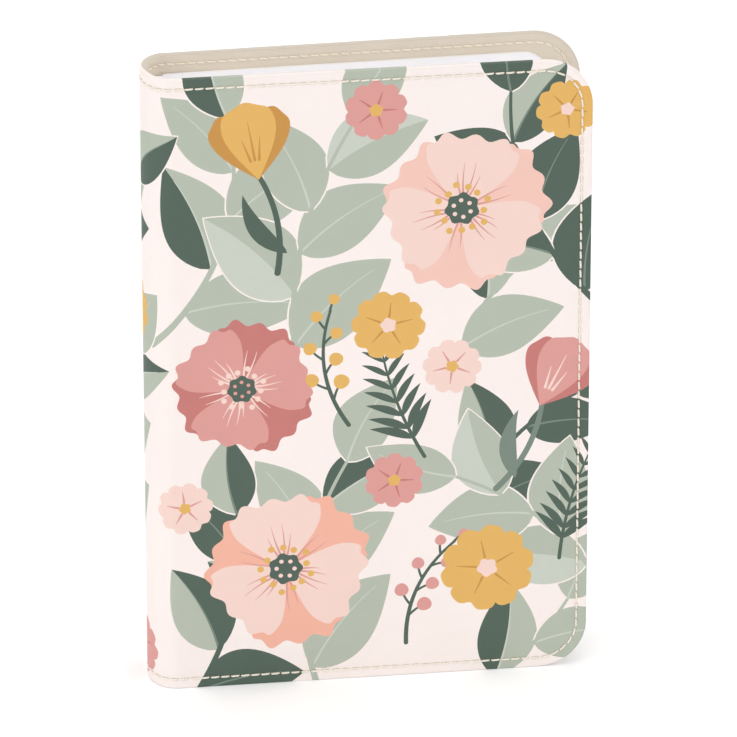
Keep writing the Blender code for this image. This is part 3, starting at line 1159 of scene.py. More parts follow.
def fibre_group() -> bpy.types.NodeTree:
    """Short pressed fibres of paper, board and thread, and a slow cloud over them.

    Returns:
        A group with inputs Vector and Fibres, how many go to a metre, and outputs Height and Fleck.
    """
    stretch = (1.0, 1.0, 0.32)
    distortion, strand_share = 1.6, 0.6
    cloud_scale, cloud_share = 90.0, 0.4
    graph, given, result = new_group(
        "pressed_fibres",
        {"Vector": "NodeSocketVector", "Fibres": "NodeSocketFloat"},
        {"Height": "NodeSocketFloat", "Fleck": "NodeSocketFloat"},
    )
    vector, fibres = given.outputs["Vector"], given.outputs["Fibres"]
    long = graph.vector("MULTIPLY", vector, stretch)
    strands = graph.noise(long, fibres, Detail=5.0, Distortion=distortion)
    cloud = graph.math("MULTIPLY", graph.noise(vector, cloud_scale, Detail=3.0), cloud_share)
    fleck = graph.math("MULTIPLY_ADD", strands, strand_share, cloud)
    graph.join(result, Height=strands, Fleck=fleck)
    return graph.tree


@dataclass(frozen=True)
class Groups:
    """The node groups that several finishes share."""

    grain: bpy.types.NodeTree
    fibres: bpy.types.NodeTree


# Finishes


def start_material(
    name: str, roughness: float, specular: float
) -> tuple[bpy.types.Material, Graph, bpy.types.Node]:
    """Starts a material with its plain values on the shader's own sockets.

    Args:
        name: Name of the material.
        roughness: Roughness where nothing is joined to it.
        specular: Specular level.

    Returns:
        The material, its graph and its shader node.
    """
    material = bpy.data.materials.new(name)
    material.use_nodes = True
    graph = Graph(material.node_tree)
    shader = material.node_tree.nodes["Principled BSDF"]
    shader.inputs["Roughness"].default_value = roughness
    shader.inputs["Specular IOR Level"].default_value = specular
    return material, graph, shader


@dataclass(frozen=True)
class Leatherette:
    """A face of the wrap with an embossed grain, which is rougher in its creases and has painted shade in
    them.
    """

    name: str
    pebbles: float
    roughness: float
    specular: float
    relief: float
    strength: float
    tone: Span
    # crease: grain heights carried to a painted shade, darkest in the creases between pebbles
    crease: Span
    rougher: float
    smoother: float
    grain_heights: tuple[float, float] = (0.2, 1.1)

    def start(
        self, groups: Groups
    ) -> tuple[bpy.types.Material, Graph, bpy.types.Node, bpy.types.NodeSocket]:
        """Starts the material, with the grain joined to its roughness and its normal.

        Args:
            groups: The shared node groups.

        Returns:
            The material, its graph, its shader node, and a shade: painted shade that is low in the creases,
            times a tone that is low in random patches.
        """
        material, graph, shader = start_material(self.name, self.roughness, self.specular)
        grain = graph.fill(groups.grain, {"Vector": graph.place(), "Pebbles": self.pebbles})
        height = grain["Height"]
        tone = graph.span(grain["Tone"], *self.tone)
        # painted shade in the creases, times the random tone patches
        shade = graph.math("MULTIPLY", tone, graph.span(height, *self.crease))
        ends = (self.roughness + self.rougher, self.roughness - self.smoother)
        rough = graph.span(height, *self.grain_heights, *ends)
        graph.join(shader, Roughness=rough, Normal=graph.bump(height, self.strength, self.relief))
        return material, graph, shader, shade


@dataclass(frozen=True)
class PrintedLeatherette(Leatherette):
    """Outer face of the wrap: a matt print on a coarse grain, with painted shade in its creases and along its
    cut edge.
    """

    name: str = "printed_leatherette_face"
    pebbles: float = 1500.0
    roughness: float = 0.58
    specular: float = 0.22
    relief: float = 0.00006
    strength: float = 0.35
    tone: Span = (0.3, 0.7, 0.975, 1.0)
    # painted shade of a few percent in the creases
    crease: Span = (0.1, 0.5, 0.955, 1.0)
    rougher: float = 0.12
    smoother: float = 0.04
    # painted shade along the cut edge, darkening the lit rounded lip
    edge_shade_factor: float = 0.9

    def material(self, groups: Groups) -> bpy.types.Material:
        """Builds the material, whose ink comes from the mesh's own print colours.

        Args:
            groups: The shared node groups.

        Returns:
            The material.
        """
        material, graph, shader, shade = self.start(groups)
        # painted shade: the ink is darker towards the cut edge, over the lit rounded lip, and in the creases
        pressed = graph.span(graph.attribute("cut", "Fac"), 0.0, 1.0, 1.0, self.edge_shade_factor)
        tint = graph.grey(graph.math("MULTIPLY", shade, pressed))
        graph.join(shader, Base_Color=graph.mix(1.0, graph.attribute("print", "Color"), tint, "MULTIPLY"))
        return material


@dataclass(frozen=True)
class PlainLeatherette(Leatherette):
    """Inner face of the wrap: plain, with a finer grain."""

    name: str = "beige_leatherette_face"
    pebbles: float = 2100.0
    roughness: float = 0.62
    specular: float = 0.28
    relief: float = 0.00005
    strength: float = 0.4
    tone: Span = (0.25, 0.75, 0.6, 1.0)
    # crease: strong painted shade in the creases
    crease: Span = (0.1, 0.55, 0.35, 1.0)
    rougher: float = 0.1
    smoother: float = 0.05
    colour: Colour = (235, 225, 209)
    # deep: colour of the random tone patches and of the painted shade in the creases
    deep: Colour = (222, 210, 193)
    # pressed: painted shade along the cut edge, darkening the lit rounded lip
    pressed: Colour = (202, 192, 177)

    def material(self, groups: Groups) -> bpy.types.Material:
        """Builds the material, which is deeper in colour in random patches, with painted shade in its creases
        and along its cut edge.

        Args:
            groups: The shared node groups.

        Returns:
            The material.
        """
        material, graph, shader, shade = self.start(groups)
        colour = graph.mix(shade, linear(self.deep), linear(self.colour))
        # painted shade along the cut edge, over the lit rounded lip
        cut = graph.attribute("cut", "Fac")
        graph.join(shader, Base_Color=graph.mix(cut, colour, linear(self.pressed)))
        return material


@dataclass(frozen=True)
class TwistedThread:
    """Sewing thread of three plies, twisted along each stitch."""

    name: str
    colour: Colour
    # the second colour: painted shade of the ply valleys and of the flanks that lie in the seam, varied by
    # fibre fuzz
    shade_and_fleck: Colour
    plies: int = 3
    twist: float = 5200.0
    roughness: float = 0.58
    specular: float = 0.3
    sheen: float = 0.12
    fuzz: float = 6000.0
    fuzz_share: float = 0.3
    # these spans set where the painted shade falls: in the ply valleys and on the flanks
    ply_span: Span = (0.1, 0.6, 0.25, 1.0)
    flank_shade_span: Span = (0.1, 0.75, 0.0, 1.0)
    strength: float = 0.5
    relief: float = 0.00008

    def material(self, groups: Groups) -> bpy.types.Material:
        """Builds the material from the mesh's own strand: distance along it, and cosine and sine round it.

        Painted shade darkens the valleys between the plies and the flanks that lie in the seam, so the crown
        that stands out of it is lighter.

        Args:
            groups: The shared node groups.

        Returns:
            The material.
        """
        material, graph, shader = start_material(self.name, self.roughness, self.specular)
        shader.inputs["Sheen Weight"].default_value = self.sheen
        strand = graph.attribute("strand", "Vector")
        along, across, out = graph.add("ShaderNodeSeparateXYZ", {0: strand}).outputs
        angle = graph.math("ARCTAN2", out, across)
        phase = graph.math("MULTIPLY_ADD", along, self.twist, graph.math("MULTIPLY", angle, self.plies))
        ply = graph.math("MULTIPLY_ADD", graph.math("SINE", phase), 0.5, 0.5)
        fuzz = graph.fill(groups.fibres, {"Vector": graph.place(), "Fibres": self.fuzz})["Fleck"]
        height = graph.math("MULTIPLY_ADD", fuzz, self.fuzz_share, ply)
        # painted shade on the flanks that lie in the seam and in the valleys between plies
        crown = graph.span(out, *self.flank_shade_span)
        share = graph.math("MULTIPLY", graph.span(height, *self.ply_span), crown)
        colour = graph.mix(share, linear(self.shade_and_fleck), linear(self.colour))
        graph.join(shader, Base_Color=colour, Normal=graph.bump(height, self.strength, self.relief))
        return material


@dataclass(frozen=True)
class Paper:
    """Smooth paper or board, with faint rules of seven day rows where the page is ruled."""

    name: str
    colour: Colour
    fleck: Colour
    rule: Colour | None = None
    days: int = 7
    first_rule: float = 0.022
    row: float = 0.0258
    line: float = 0.00645
    hair: float = 0.00022
    fine_share: float = 0.5
    rule_middle: float = -0.003
    rule_reach: float = 0.052
    roughness: float = 0.72
    specular: float = 0.25
    fibres: float = 1800.0
    fleck_span: Span = (0.36, 0.6, 0.0, 1.0)
    rough_span: Span = (0.3, 0.7, 0.8, 0.66)
    strength: float = 0.2
    relief: float = 0.00003

    def ruling(self, graph: Graph, vector: Any) -> bpy.types.NodeSocket:
        """Mask of the printed rules: fine lines, and a bolder one between two days.

        Args:
            graph: The material's graph.
            vector: Object coordinates.

        Returns:
            1 on a bold rule, less on a fine one, and 0 elsewhere.
        """
        x, _, z = graph.add("ShaderNodeSeparateXYZ", {0: vector}).outputs
        up = graph.math("SUBTRACT", z, self.first_rule)
        fine = graph.math("COMPARE", graph.math("PINGPONG", up, self.line / 2), 0.0, self.hair / 2)
        bold = graph.math("COMPARE", graph.math("PINGPONG", up, self.row / 2), 0.0, self.hair)
        mask = graph.math("MAXIMUM", graph.math("MULTIPLY", fine, self.fine_share), bold)
        off_middle = graph.math("ABSOLUTE", graph.math("ADD", x, -self.rule_middle))
        inside = graph.math("LESS_THAN", off_middle, self.rule_reach)
        low = graph.math("GREATER_THAN", up, -self.hair)
        high = graph.math("LESS_THAN", up, self.days * self.row + self.hair)
        return graph.math("MULTIPLY", graph.math("MULTIPLY", mask, inside), graph.math("MULTIPLY", low, high))

    def material(self, groups: Groups) -> bpy.types.Material:
        """Builds the material.

        Args:
            groups: The shared node groups.

        Returns:
            The material.
        """
        material, graph, shader = start_material(self.name, self.roughness, self.specular)
        vector = graph.place()
        fibres = graph.fill(groups.fibres, {"Vector": vector, "Fibres": self.fibres})
        height = fibres["Height"]
        share = graph.span(fibres["Fleck"], *self.fleck_span)
        colour = graph.mix(share, linear(self.fleck), linear(self.colour))
        if self.rule:
            colour = graph.mix(self.ruling(graph, vector), colour, linear(self.rule))
        rough = graph.span(height, *self.rough_span)
        normal = graph.bump(height, self.strength, self.relief)
        graph.join(shader, Base_Color=colour, Roughness=rough, Normal=normal)
        return material


@dataclass(frozen=True)
class WovenCloth:
    """Open woven strip that the sections are glued to."""

    name: str = "backing_cloth_weave"
    colour: Colour = (236, 232, 222)
    # the second colour: painted shade in the gaps between threads, also the tint of fibre flecks
    gap: Colour = (178, 170, 156)
    thread: float = 0.0007
    roughness: float = 0.85
    specular: float = 0.2
    fibres: float = 2600.0
    weave_span: Span = (0.3, 0.9, 0.0, 1.0)
    fleck_span: Span = (0.3, 0.5, 0.7, 1.0)
    strength: float = 0.6
    relief: float = 0.0001

    def material(self, groups: Groups) -> bpy.types.Material:
        """Builds the material: warp and weft as crossed waves, with painted shade in the gaps between them
        and fibre flecks over them.

        Args:
            groups: The shared node groups.

        Returns:
            The material.
        """
        material, graph, shader = start_material(self.name, self.roughness, self.specular)
        vector = graph.place()
        _, y, z = graph.add("ShaderNodeSeparateXYZ", {0: vector}).outputs
        turn = 2 * pi / self.thread
        weft = graph.math("ABSOLUTE", graph.math("SINE", graph.math("MULTIPLY", z, turn)))
        warp = graph.math("ABSOLUTE", graph.math("SINE", graph.math("MULTIPLY", y, turn)))
        height = graph.math("MAXIMUM", weft, warp)
        fleck = graph.fill(groups.fibres, {"Vector": vector, "Fibres": self.fibres})["Fleck"]
        # painted shade in the low gaps between threads, times fibre flecks
        raised = graph.span(height, *self.weave_span)
        share = graph.math("MULTIPLY", raised, graph.span(fleck, *self.fleck_span))
        normal = graph.bump(height, self.strength, self.relief)
        colour = graph.mix(share, linear(self.gap), linear(self.colour))
        graph.join(shader, Base_Color=colour, Normal=normal)
        return material


BOARD = Paper("grey_board_pulp", colour=(176, 172, 164), fleck=(140, 136, 128))
# the second colour of each thread is its painted shade for ply valleys and flanks
NEEDLE_THREAD = TwistedThread("needle_thread_ply", colour=(254, 249, 238), shade_and_fleck=(203, 184, 160))
BOBBIN_THREAD = TwistedThread("bobbin_thread_ply", colour=(253, 245, 228), shade_and_fleck=(230, 216, 194))
RULED_PAGE = Paper("ruled_page", colour=(250, 249, 253), fleck=(245, 244, 249), rule=(198, 196, 202))
ENDPAPER = Paper("endpaper", colour=(247, 244, 241), fleck=(240, 236, 231))


# The wrap


@dataclass
class Cover:
    """One half of the wrap, from the middle of the spine to the fore-edge: skin, board, lining, stitches."""

    form: CoverForm
    side: Side
    art: CoverPrint
    lip: float = 0.0004
    lip_share: float = 0.8
    # width of the band along the cut edge where the finishes paint shade
    edge_shade_width: float = 0.0006
    lip_lines: tuple[float, ...] = (0.00004, 0.00012, 0.00024, 0.0004, 0.0007)
    skin_back: float = 0.00082
    board: tuple[float, float] = (0.0009, 0.0015)
    board_inset: float = 0.0006
    lining_back: float = 0.00158
    seam_rise: float = 0.00065
    seam_spread: float = 0.004
    seam_width: float = 0.0005
    stitch_margin: float = 0.0034
    groove_depth: float = 0.00034
    groove_width: float = 0.0005
    groove_lines: tuple[float, ...] = (-2, -1.2, -0.6, 0, 0.6, 1.2, 2)
    stitch_pitch: float = 0.00335
    stitch_length: float = 0.0030
    stitch_slant: float = 0.00007
    stitch_bed: float = 0.35
    stitch_dive: float = 0.0004
    stitch_rows: int = 8
    stitch_sides: int = 8
    thread_radius: float = 0.00036
    thread_tip: float = 0.000001
    probe: float = 0.0001
    map_margin: float = 0.002
    map_gap: float = 0.006
    map_rim: float = 0.0014
    glued_scale: float = 0.3
    pieces: list[bpy.types.Object] = field(default_factory=list)

    def flat_mesh(self, shapes: list[np.ndarray], inset: float = 0.0) -> FlatMesh:
        """Triangles of one layer, with lines along its lip, its groove and its bends.

        Args:
            shapes: Printed shapes, in drawing order.
            inset: How far the layer stays inside the cut edge.

        Returns:
            The layer, laid out flat.
        """
        form, side = self.form, self.side
        outline = form.ring(inset, side)
        if side is Side.BACK:
            outline = outline[::-1]
        across_groove = (self.stitch_margin + self.groove_width * step for step in self.groove_lines)
        lines = [] if inset else [form.ring(ring, side) for ring in (*self.lip_lines, *across_groove)]
        return triangulate(outline, lines + form.bend_lines(side), shapes)

    def shell(self, flat: FlatMesh, top: np.ndarray, bottom: np.ndarray) -> Patch:
        """Closed shell of one layer between two depths, joined along its rim.

        Args:
            flat: The layer, laid out flat.
            top: Depth of its outer face at each point.
            bottom: Depth of its inner face at each point.

        Returns:
            Outer face, inner face and rim, in that order.
        """
        count = len(flat.points)
        points = np.concatenate((
            self.form.place(flat.points, top, self.side),
            self.form.place(flat.points, bottom, self.side),
        ))
        first, last = flat.rim[0].T
        rim = np.stack((last, first, first + count, last + count), axis=-1)
        return Patch(points, padded_faces(flat.triangles, flat.triangles[:, ::-1] + count, rim))

    def unfold(self, obj: bpy.types.Object, flat: FlatMesh, inside_out: bool) -> None:
        """Gives a shell a flat map: its shown face large, its rim folded out round it, its glued face small.

        Args:
            obj: The shell.
            flat: The layer it was made from.
            inside_out: Whether the shown face is the inner one.
        """
        form, margin = self.form, self.map_margin
        scale = 1 / (form.height + 2 * margin)
        run_height = np.stack((np.abs(flat.points[:, 0]), flat.points[:, 1]), axis=-1)
        inner = np.clip(run_height, form.corner, (form.reach - form.corner, form.height - form.corner))
        out = run_height - inner
        out /= np.maximum(np.linalg.norm(out, axis=1, keepdims=True), 1e-9)
        large = (run_height + margin) * scale
        small = (run_height * self.glued_scale + (form.reach + self.map_gap, margin)) * scale
        folded = large + out * self.map_rim * scale
        edges, _ = flat.rim
        faces = (small, large) if inside_out else (large, small)
        top, bottom = (folded, large) if inside_out else (large, folded)
        first, last = edges.T
        rim = np.stack((top[last], top[first], bottom[first], bottom[last]), axis=1)
        corners = (
            faces[0][flat.triangles].reshape(-1, 2),
            faces[1][flat.triangles[:, ::-1]].reshape(-1, 2),
            rim.reshape(-1, 2),
        )
        layer = obj.data.uv_layers.new(name="OFBake")
        layer.uv.foreach_set("vector", np.concatenate(corners).astype(np.float32).ravel())

    def lip_drop(self, edge: np.ndarray, room: np.ndarray) -> np.ndarray:
        """How far a face falls towards the cut edge: a quarter round that fits into the layer's rim.

        Args:
            edge: Distance of each point from the cut edge.
            room: Height of the layer's part of the rim.

        Returns:
            Drop of each point.
        """
        radius = np.minimum(self.lip, self.lip_share * room)
        short = np.clip(radius - edge, 0.0, radius)
        return radius - np.sqrt(radius**2 - short**2)

    def groove(self, edge: np.ndarray) -> np.ndarray:
        """How far the stitch line is pulled in: a bell curve across it."""
        return self.groove_depth * np.exp(-(((edge - self.stitch_margin) / self.groove_width) ** 2))

    def seam(self, flat: np.ndarray) -> np.ndarray:
        """Depth of the line round the rim where skin meets lining: deep in front, shallow behind."""
        return self.form.thickness / 2 + self.seam_rise * np.tanh(flat[:, 0] / self.seam_spread)

    def meeting(self, flat: np.ndarray, edge: np.ndarray, inside: float) -> np.ndarray:
        """Depth of a glued face: its own depth inside, and at the rim the line where skin meets lining."""
        share = np.clip(1 - edge / self.seam_width, 0.0, 1.0)
        return inside + (self.seam(flat) - inside) * share

    def mark_edge_shade(self, obj: bpy.types.Object, edge: np.ndarray) -> None:
        """Marks how near each point of a shell is to its cut edge, where the finishes paint shade over the
        lit lip.

        Args:
            obj: The shell.
            edge: Distance of each point of its layer from the cut edge.
        """
        share = np.tile(np.clip(1 - edge / self.edge_shade_width, 0.0, 1.0), 2)
        attribute = obj.data.attributes.new("cut", "FLOAT", "POINT")
        attribute.data.foreach_set("value", share.astype(np.float32))

    def wrap(self, obj: bpy.types.Object, slot: str, *kinds: str) -> None:
        """Bakes a piece's transform and lets it stand for its nodes of the cover and the spine, which are
        hidden.

        Args:
            obj: The piece.
            slot: Material slot of the record, not used.
            kinds: Last words of the nodes it stands for.
        """
        hinge, tangent = np.array(self.form.hinge), np.array(self.form.tangent)
        cover = self.side.label + "_cover"
        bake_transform(obj)
        names = [kind if kind.startswith("spine") else f"{cover}_{kind}" for kind in kinds]
        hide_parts(*names)
        self.pieces.append(obj)

    def add_skin(self, material: bpy.types.Material) -> None:
        """Printed outer skin: the ink of each triangle is that of the topmost shape it lies in.

        Args:
            material: Finish of the skin.
        """
        reach = self.form.reach
        low, high = (0.0, reach) if self.side is Side.FRONT else (-reach, 0.0)
        shapes = self.art.shapes(low, high)
        flat = self.flat_mesh([outline for outline, _ in shapes])
        edge = self.form.edge_distance(flat.points)
        top = self.lip_drop(edge, self.seam(flat.points)) + self.groove(edge)
        bottom = self.meeting(flat.points, edge, self.skin_back)
        obj = self.shell(flat, top, bottom).make(f"{self.side.label}_printed_skin", material)
        inks = np.array([linear(Ink.GROUND.value)] + [linear(ink.value) for _, ink in shapes])
        _, homes = flat.rim
        tints = np.concatenate((
            np.repeat(inks[flat.owners], 3, axis=0),
            np.repeat(inks[np.zeros_like(flat.owners)], 3, axis=0),
            np.repeat(inks[flat.owners[homes]], 4, axis=0),
        ))
        attribute = obj.data.attributes.new("print", "FLOAT_COLOR", "CORNER")
        attribute.data.foreach_set("color", tints.astype(np.float32).ravel())
        self.mark_edge_shade(obj, edge)
        self.unfold(obj, flat, inside_out=False)
        self.wrap(obj, "printed_leatherette", "skin", "spine_skin")

    def add_lining(self, material: bpy.types.Material) -> None:
        """Plain inner lining, whose shown face has its own lip and stitch groove.

        Args:
            material: Finish of the lining.
        """
        flat = self.flat_mesh([])
        edge = self.form.edge_distance(flat.points)
        thickness = self.form.thickness
        drop = self.lip_drop(edge, thickness - self.seam(flat.points))
        bottom = thickness - drop - self.groove(edge)
        top = self.meeting(flat.points, edge, self.lining_back)
        obj = self.shell(flat, top, bottom).make(f"{self.side.label}_plain_lining", material)
        self.mark_edge_shade(obj, edge)
        self.unfold(obj, flat, inside_out=True)
        self.wrap(obj, "beige_leatherette", "lining", "spine_lining")

    def add_board(self, material: bpy.types.Material) -> None:
        """Thin stiffening board between skin and lining.

        Args:
            material: Finish of the board.
        """
        flat = self.flat_mesh([], self.board_inset)
        top, bottom = (np.full(len(flat.points), depth) for depth in self.board)
        obj = self.shell(flat, top, bottom).make(f"{self.side.label}_stiffener", material)
        self.wrap(obj, "grey_board", "core", "spine_core")

    def add_stitches(self, face: Face, material: bpy.types.Material) -> None:
        """A row of stitches: short round threads along the stitch line, whose ends dive into the cover.

        Each is a grid over v, from -1 to 1 along it, and the turn round it. Its girth is the root of
        1 - v^8, it slants across the line with v, and it sinks into the cover with v^6.

        Args:
            face: Outer or inner face of the wrap.
            material: Finish of the thread.
        """
        line = self.form.ring(self.stitch_margin, self.side)
        steps = np.linalg.norm(np.diff(line, axis=0), axis=1)
        runs = np.concatenate(([0.0], np.cumsum(steps)))
        count = round(runs[-1] / self.stitch_pitch)
        rows, sides = self.stitch_rows, self.stitch_sides
        v = np.sin(np.linspace(-pi / 2, pi / 2, rows))
        turn = np.linspace(0.0, 2 * pi, sides, endpoint=False)
        middles = (np.arange(count) + 0.5) * runs[-1] / count
        along = (middles[:, None] + v * self.stitch_length / 2).ravel()

        def points(shift: float) -> np.ndarray:
            """Points on the stitch line, each moved along it."""
            return np.stack([np.interp(along + shift, runs, line[:, axis]) for axis in (0, 1)], axis=-1)

        step = points(self.probe) - points(-self.probe)
        step /= np.linalg.norm(step, axis=1, keepdims=True)
        across = np.stack((-step[:, 1], step[:, 0]), axis=-1)
        girth = self.thread_radius * np.sqrt(np.clip(1 - v**8, 0.0, 1.0)) + self.thread_tip
        sink = self.groove_depth * self.stitch_bed + self.stitch_dive * v**6
        girth, sink, slant = (np.tile(part, count)[:, None] for part in (girth, sink, self.stitch_slant * v))
        side_shift = girth * np.cos(turn) + slant
        flat = points(0.0)[:, None, :] + across[:, None, :] * side_shift[..., None]
        depth = sink - girth * np.sin(turn)
        corner = np.arange(0, sides - 2, 2)
        cap = np.stack((np.zeros_like(corner), corner + 1, corner + 2, corner + 3), axis=-1) % sides
        closed = (grid_faces(rows, sides, ring=True), cap[:, ::-1], cap + (rows - 1) * sides)
        faces = (np.arange(count)[:, None, None] * rows * sides + np.concatenate(closed)).reshape(-1, 4)
        if face is Face.INNER:
            depth, faces = self.form.thickness - depth, faces[:, ::-1]
        placed = self.form.place(flat, depth, self.side).reshape(-1, 3)
        obj = Patch(placed, faces).make(f"{self.side.label}_{face.value}_stitches", material)
        strand = np.stack(np.broadcast_arrays(along[:, None], np.cos(turn), np.sin(turn)), axis=-1)
        attribute = obj.data.attributes.new("strand", "FLOAT_VECTOR", "POINT")
        attribute.data.foreach_set("vector", strand.astype(np.float32).ravel())
        thread = f"{face.value}_thread"
        self.wrap(obj, "cream_thread", thread, f"spine_{thread}_top", f"spine_{thread}_bottom")


# The page block


@dataclass
class PageBlock:
    """Folded sections, flyleaves and pastedowns between the covers."""

    form: CoverForm
    sections: int
    margin: float
    pitch: float = 0.00125
    fore_margin: float = 0.011
    corner: float = 0.008
    fold_depth: float = 0.003575
    leaf: float = 0.0001
    sheets: tuple[float, ...] = (0.00052, 0.000375, 0.00023, 0.000085)
    jitter: float = 0.00012
    endpaper: float = 0.00025
    pastedown_depth: float = 0.002425
    flyleaf_depth: float = 0.002825
    pastedown_start: float = 0.001
    rows: int = 7
    straight_columns: int = 9
    corner_columns: int = 10
    fold_columns: int = 9
    fold_points: int = 200
    seed: int = 11
    pieces: list[bpy.types.Object] = field(default_factory=list)

    @classmethod
    def of_frame(cls, form: CoverForm, nodes: Iterable[str]) -> "PageBlock":
        """Block of as many sections as the frame has, with the margin that they leave at the foot.

        Args:
            form: Form of the wrap round the block.
            nodes: Names of the frame's nodes.

        Returns:
            The block, with nothing built yet.
        """
        sections = [name for name in nodes if name.startswith("section_")]
        low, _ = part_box(sections[0])
        return cls(form, sections=len(sections), margin=round(low.z, 6))

    @property
    def half(self) -> int:
        """Sections that open with each cover."""
        return self.sections // 2

    def share(self, rank: float) -> float:
        """How much of its cover's opening a leaf follows, counted from the middle of the block."""
        return (rank + 0.5) / (self.half + 1.5)

    def columns(self, start: float, fore: float) -> np.ndarray:
        """X of the columns of a leaf, close together round its corners.

        Args:
            start: X of its edge at the spine.
            fore: X of its fore-edge.

        Returns:
            X of each column, from the spine out.
        """
        turns = np.linspace(0.0, pi / 2, self.corner_columns)[1:]
        straight = np.linspace(start, fore - self.corner, self.straight_columns)
        return np.concatenate((straight, fore - self.corner * (1 - np.sin(turns))))

    def heights(self, x: np.ndarray, fore: float) -> np.ndarray:
        """Heights of a leaf's points in each column, which the rounded corners shorten.

        Args:
            x: X of each column.
            fore: X of the fore-edge.

        Returns:
            Heights, one row for each column.
        """
        into = np.clip((x - (fore - self.corner)) / self.corner, 0.0, 1.0)
        trim = self.margin + self.corner * (1 - np.sqrt(1 - into**2))
        share = np.linspace(0.0, 1.0, self.rows)
        return trim[:, None] + (self.form.height - 2 * trim)[:, None] * share

    def sheet(self, x: np.ndarray, y: np.ndarray, fore: float, share: float, side: Side) -> np.ndarray:
        """Points of one sheet: its path seen from above, carried up between its trimmed edges.

        Args:
            x: X along the path, closed.
            y: Distance from the middle of the block along the path.
            fore: X of the fore-edge.
            share: Share of the opening at rest.
            side: Which cover the sheet opens with.

        Returns:
            Points, column by column.
        """
        turned_x, turned_y = self.form.turned(x, y, share)
        heights = self.heights(x, fore)
        columns = np.stack((turned_x, side.value * turned_y), axis=-1)[:, None, :]
        spread = np.broadcast_to(columns, (*heights.shape, 2))
        return np.concatenate((spread, heights[..., None]), axis=-1).reshape(-1, 3)

    def finish(self, obj: bpy.types.Object, thickness: float, body: str, node: str) -> None:
        """Gives a leaf its thickness and lets it ride for its node.

        Args:
            obj: The piece.
            thickness: Thickness of the paper.
            body: Body it moves with.
            node: Node it stands for.
        """
        solid = obj.modifiers.new("paper", "SOLIDIFY")
        solid.thickness = thickness
        solid.offset = 0.0
        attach(obj, body)
        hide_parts(node)
        self.pieces.append(obj)

    def add_section(self, number: int, draws: np.random.Generator, material: bpy.types.Material) -> None:
        """One section: nested folded sheets with half-round folds towards the spine.

        Args:
            number: Number of the section, from 0 at the front.
            draws: Random numbers for the trim of the sheets.
            material: Finish of the paper.
        """
        side = Side.FRONT if number < self.half else Side.BACK
        rank = self.half - 1 - number if side is Side.FRONT else number - self.half
        middle = (rank + 0.5) * self.pitch
        round_spine = np.linspace(0.0, pi / 2, self.fold_points)
        fold_x, fold_y = self.form.section(round_spine, self.fold_depth)
        fold = float(np.interp(middle, fold_y, fold_x))
        turns = np.linspace(0.0, pi, self.fold_columns)[1:-1]
        parts = []
        for radius in self.sheets:
            fore = self.form.width / 2 - self.fore_margin + float(draws.uniform(-self.jitter, self.jitter))
            flat = self.columns(fold, fore)
            x = np.concatenate((flat[::-1], fold - radius * np.sin(turns), flat))
            inner, outer = (np.full(len(flat), middle + way * radius) for way in (-1, 1))
            y = np.concatenate((inner, middle - radius * np.cos(turns), outer))
            parts.append(self.sheet(x, y, fore, self.share(rank), side))
        count = len(parts[0])
        quads = grid_faces(count // self.rows, self.rows)
        faces = np.concatenate([quads + sheet * count for sheet in range(len(parts))])
        name = f"section_{number + 1:02d}"
        obj = Patch(np.concatenate(parts), padded_faces(faces)).make(name + "_leaves", material)
        self.finish(obj, self.leaf, name, name)

    def add_leaf(
        self, name: str, depth: float, start: float, share: float, body: str, side: Side,
        material: bpy.types.Material,
    ) -> None:
        """One flat leaf of an endpaper.

        Args:
            name: Name of the piece.
            depth: Depth of its middle below the cover's outer face.
            start: X of its edge at the spine.
            share: Share of the opening at rest.
            body: Body it moves with.
            side: Which cover it opens with.
            material: Finish of the paper.
        """
        fore = self.form.width / 2 - self.fore_margin
        x = self.columns(start, fore)
        y = np.full(len(x), self.form.half_thickness - depth)
        points = self.sheet(x, y, fore, share, side)
        obj = Patch(points, padded_faces(grid_faces(len(x), self.rows))).make(name + "_sheet", material)
        self.finish(obj, self.endpaper, body, name)

    def build(self, ruled: bpy.types.Material, plain: bpy.types.Material) -> None:
        """Builds every leaf of the block.

        Args:
            ruled: Finish of the ruled pages.
            plain: Finish of the endpapers.
        """
        draws = np.random.default_rng(self.seed)
        for number in range(self.sections):
            self.add_section(number, draws, ruled)
        for side in Side:
            start = self.form.centre_x
            glued = start + self.pastedown_start
            cover, flyleaf = f"{side.label}_cover", f"{side.label}_flyleaf"
            self.add_leaf(cover + "_pastedown", self.pastedown_depth, glued, 1.0, cover, side, plain)
            self.add_leaf(flyleaf, self.flyleaf_depth, start, self.share(self.half), flyleaf, side, plain)


# Studio


@dataclass(frozen=True)
class Lamp:
    """One square softbox."""

    name: str
    at: tuple[float, float, float]
    size: float
    power: float


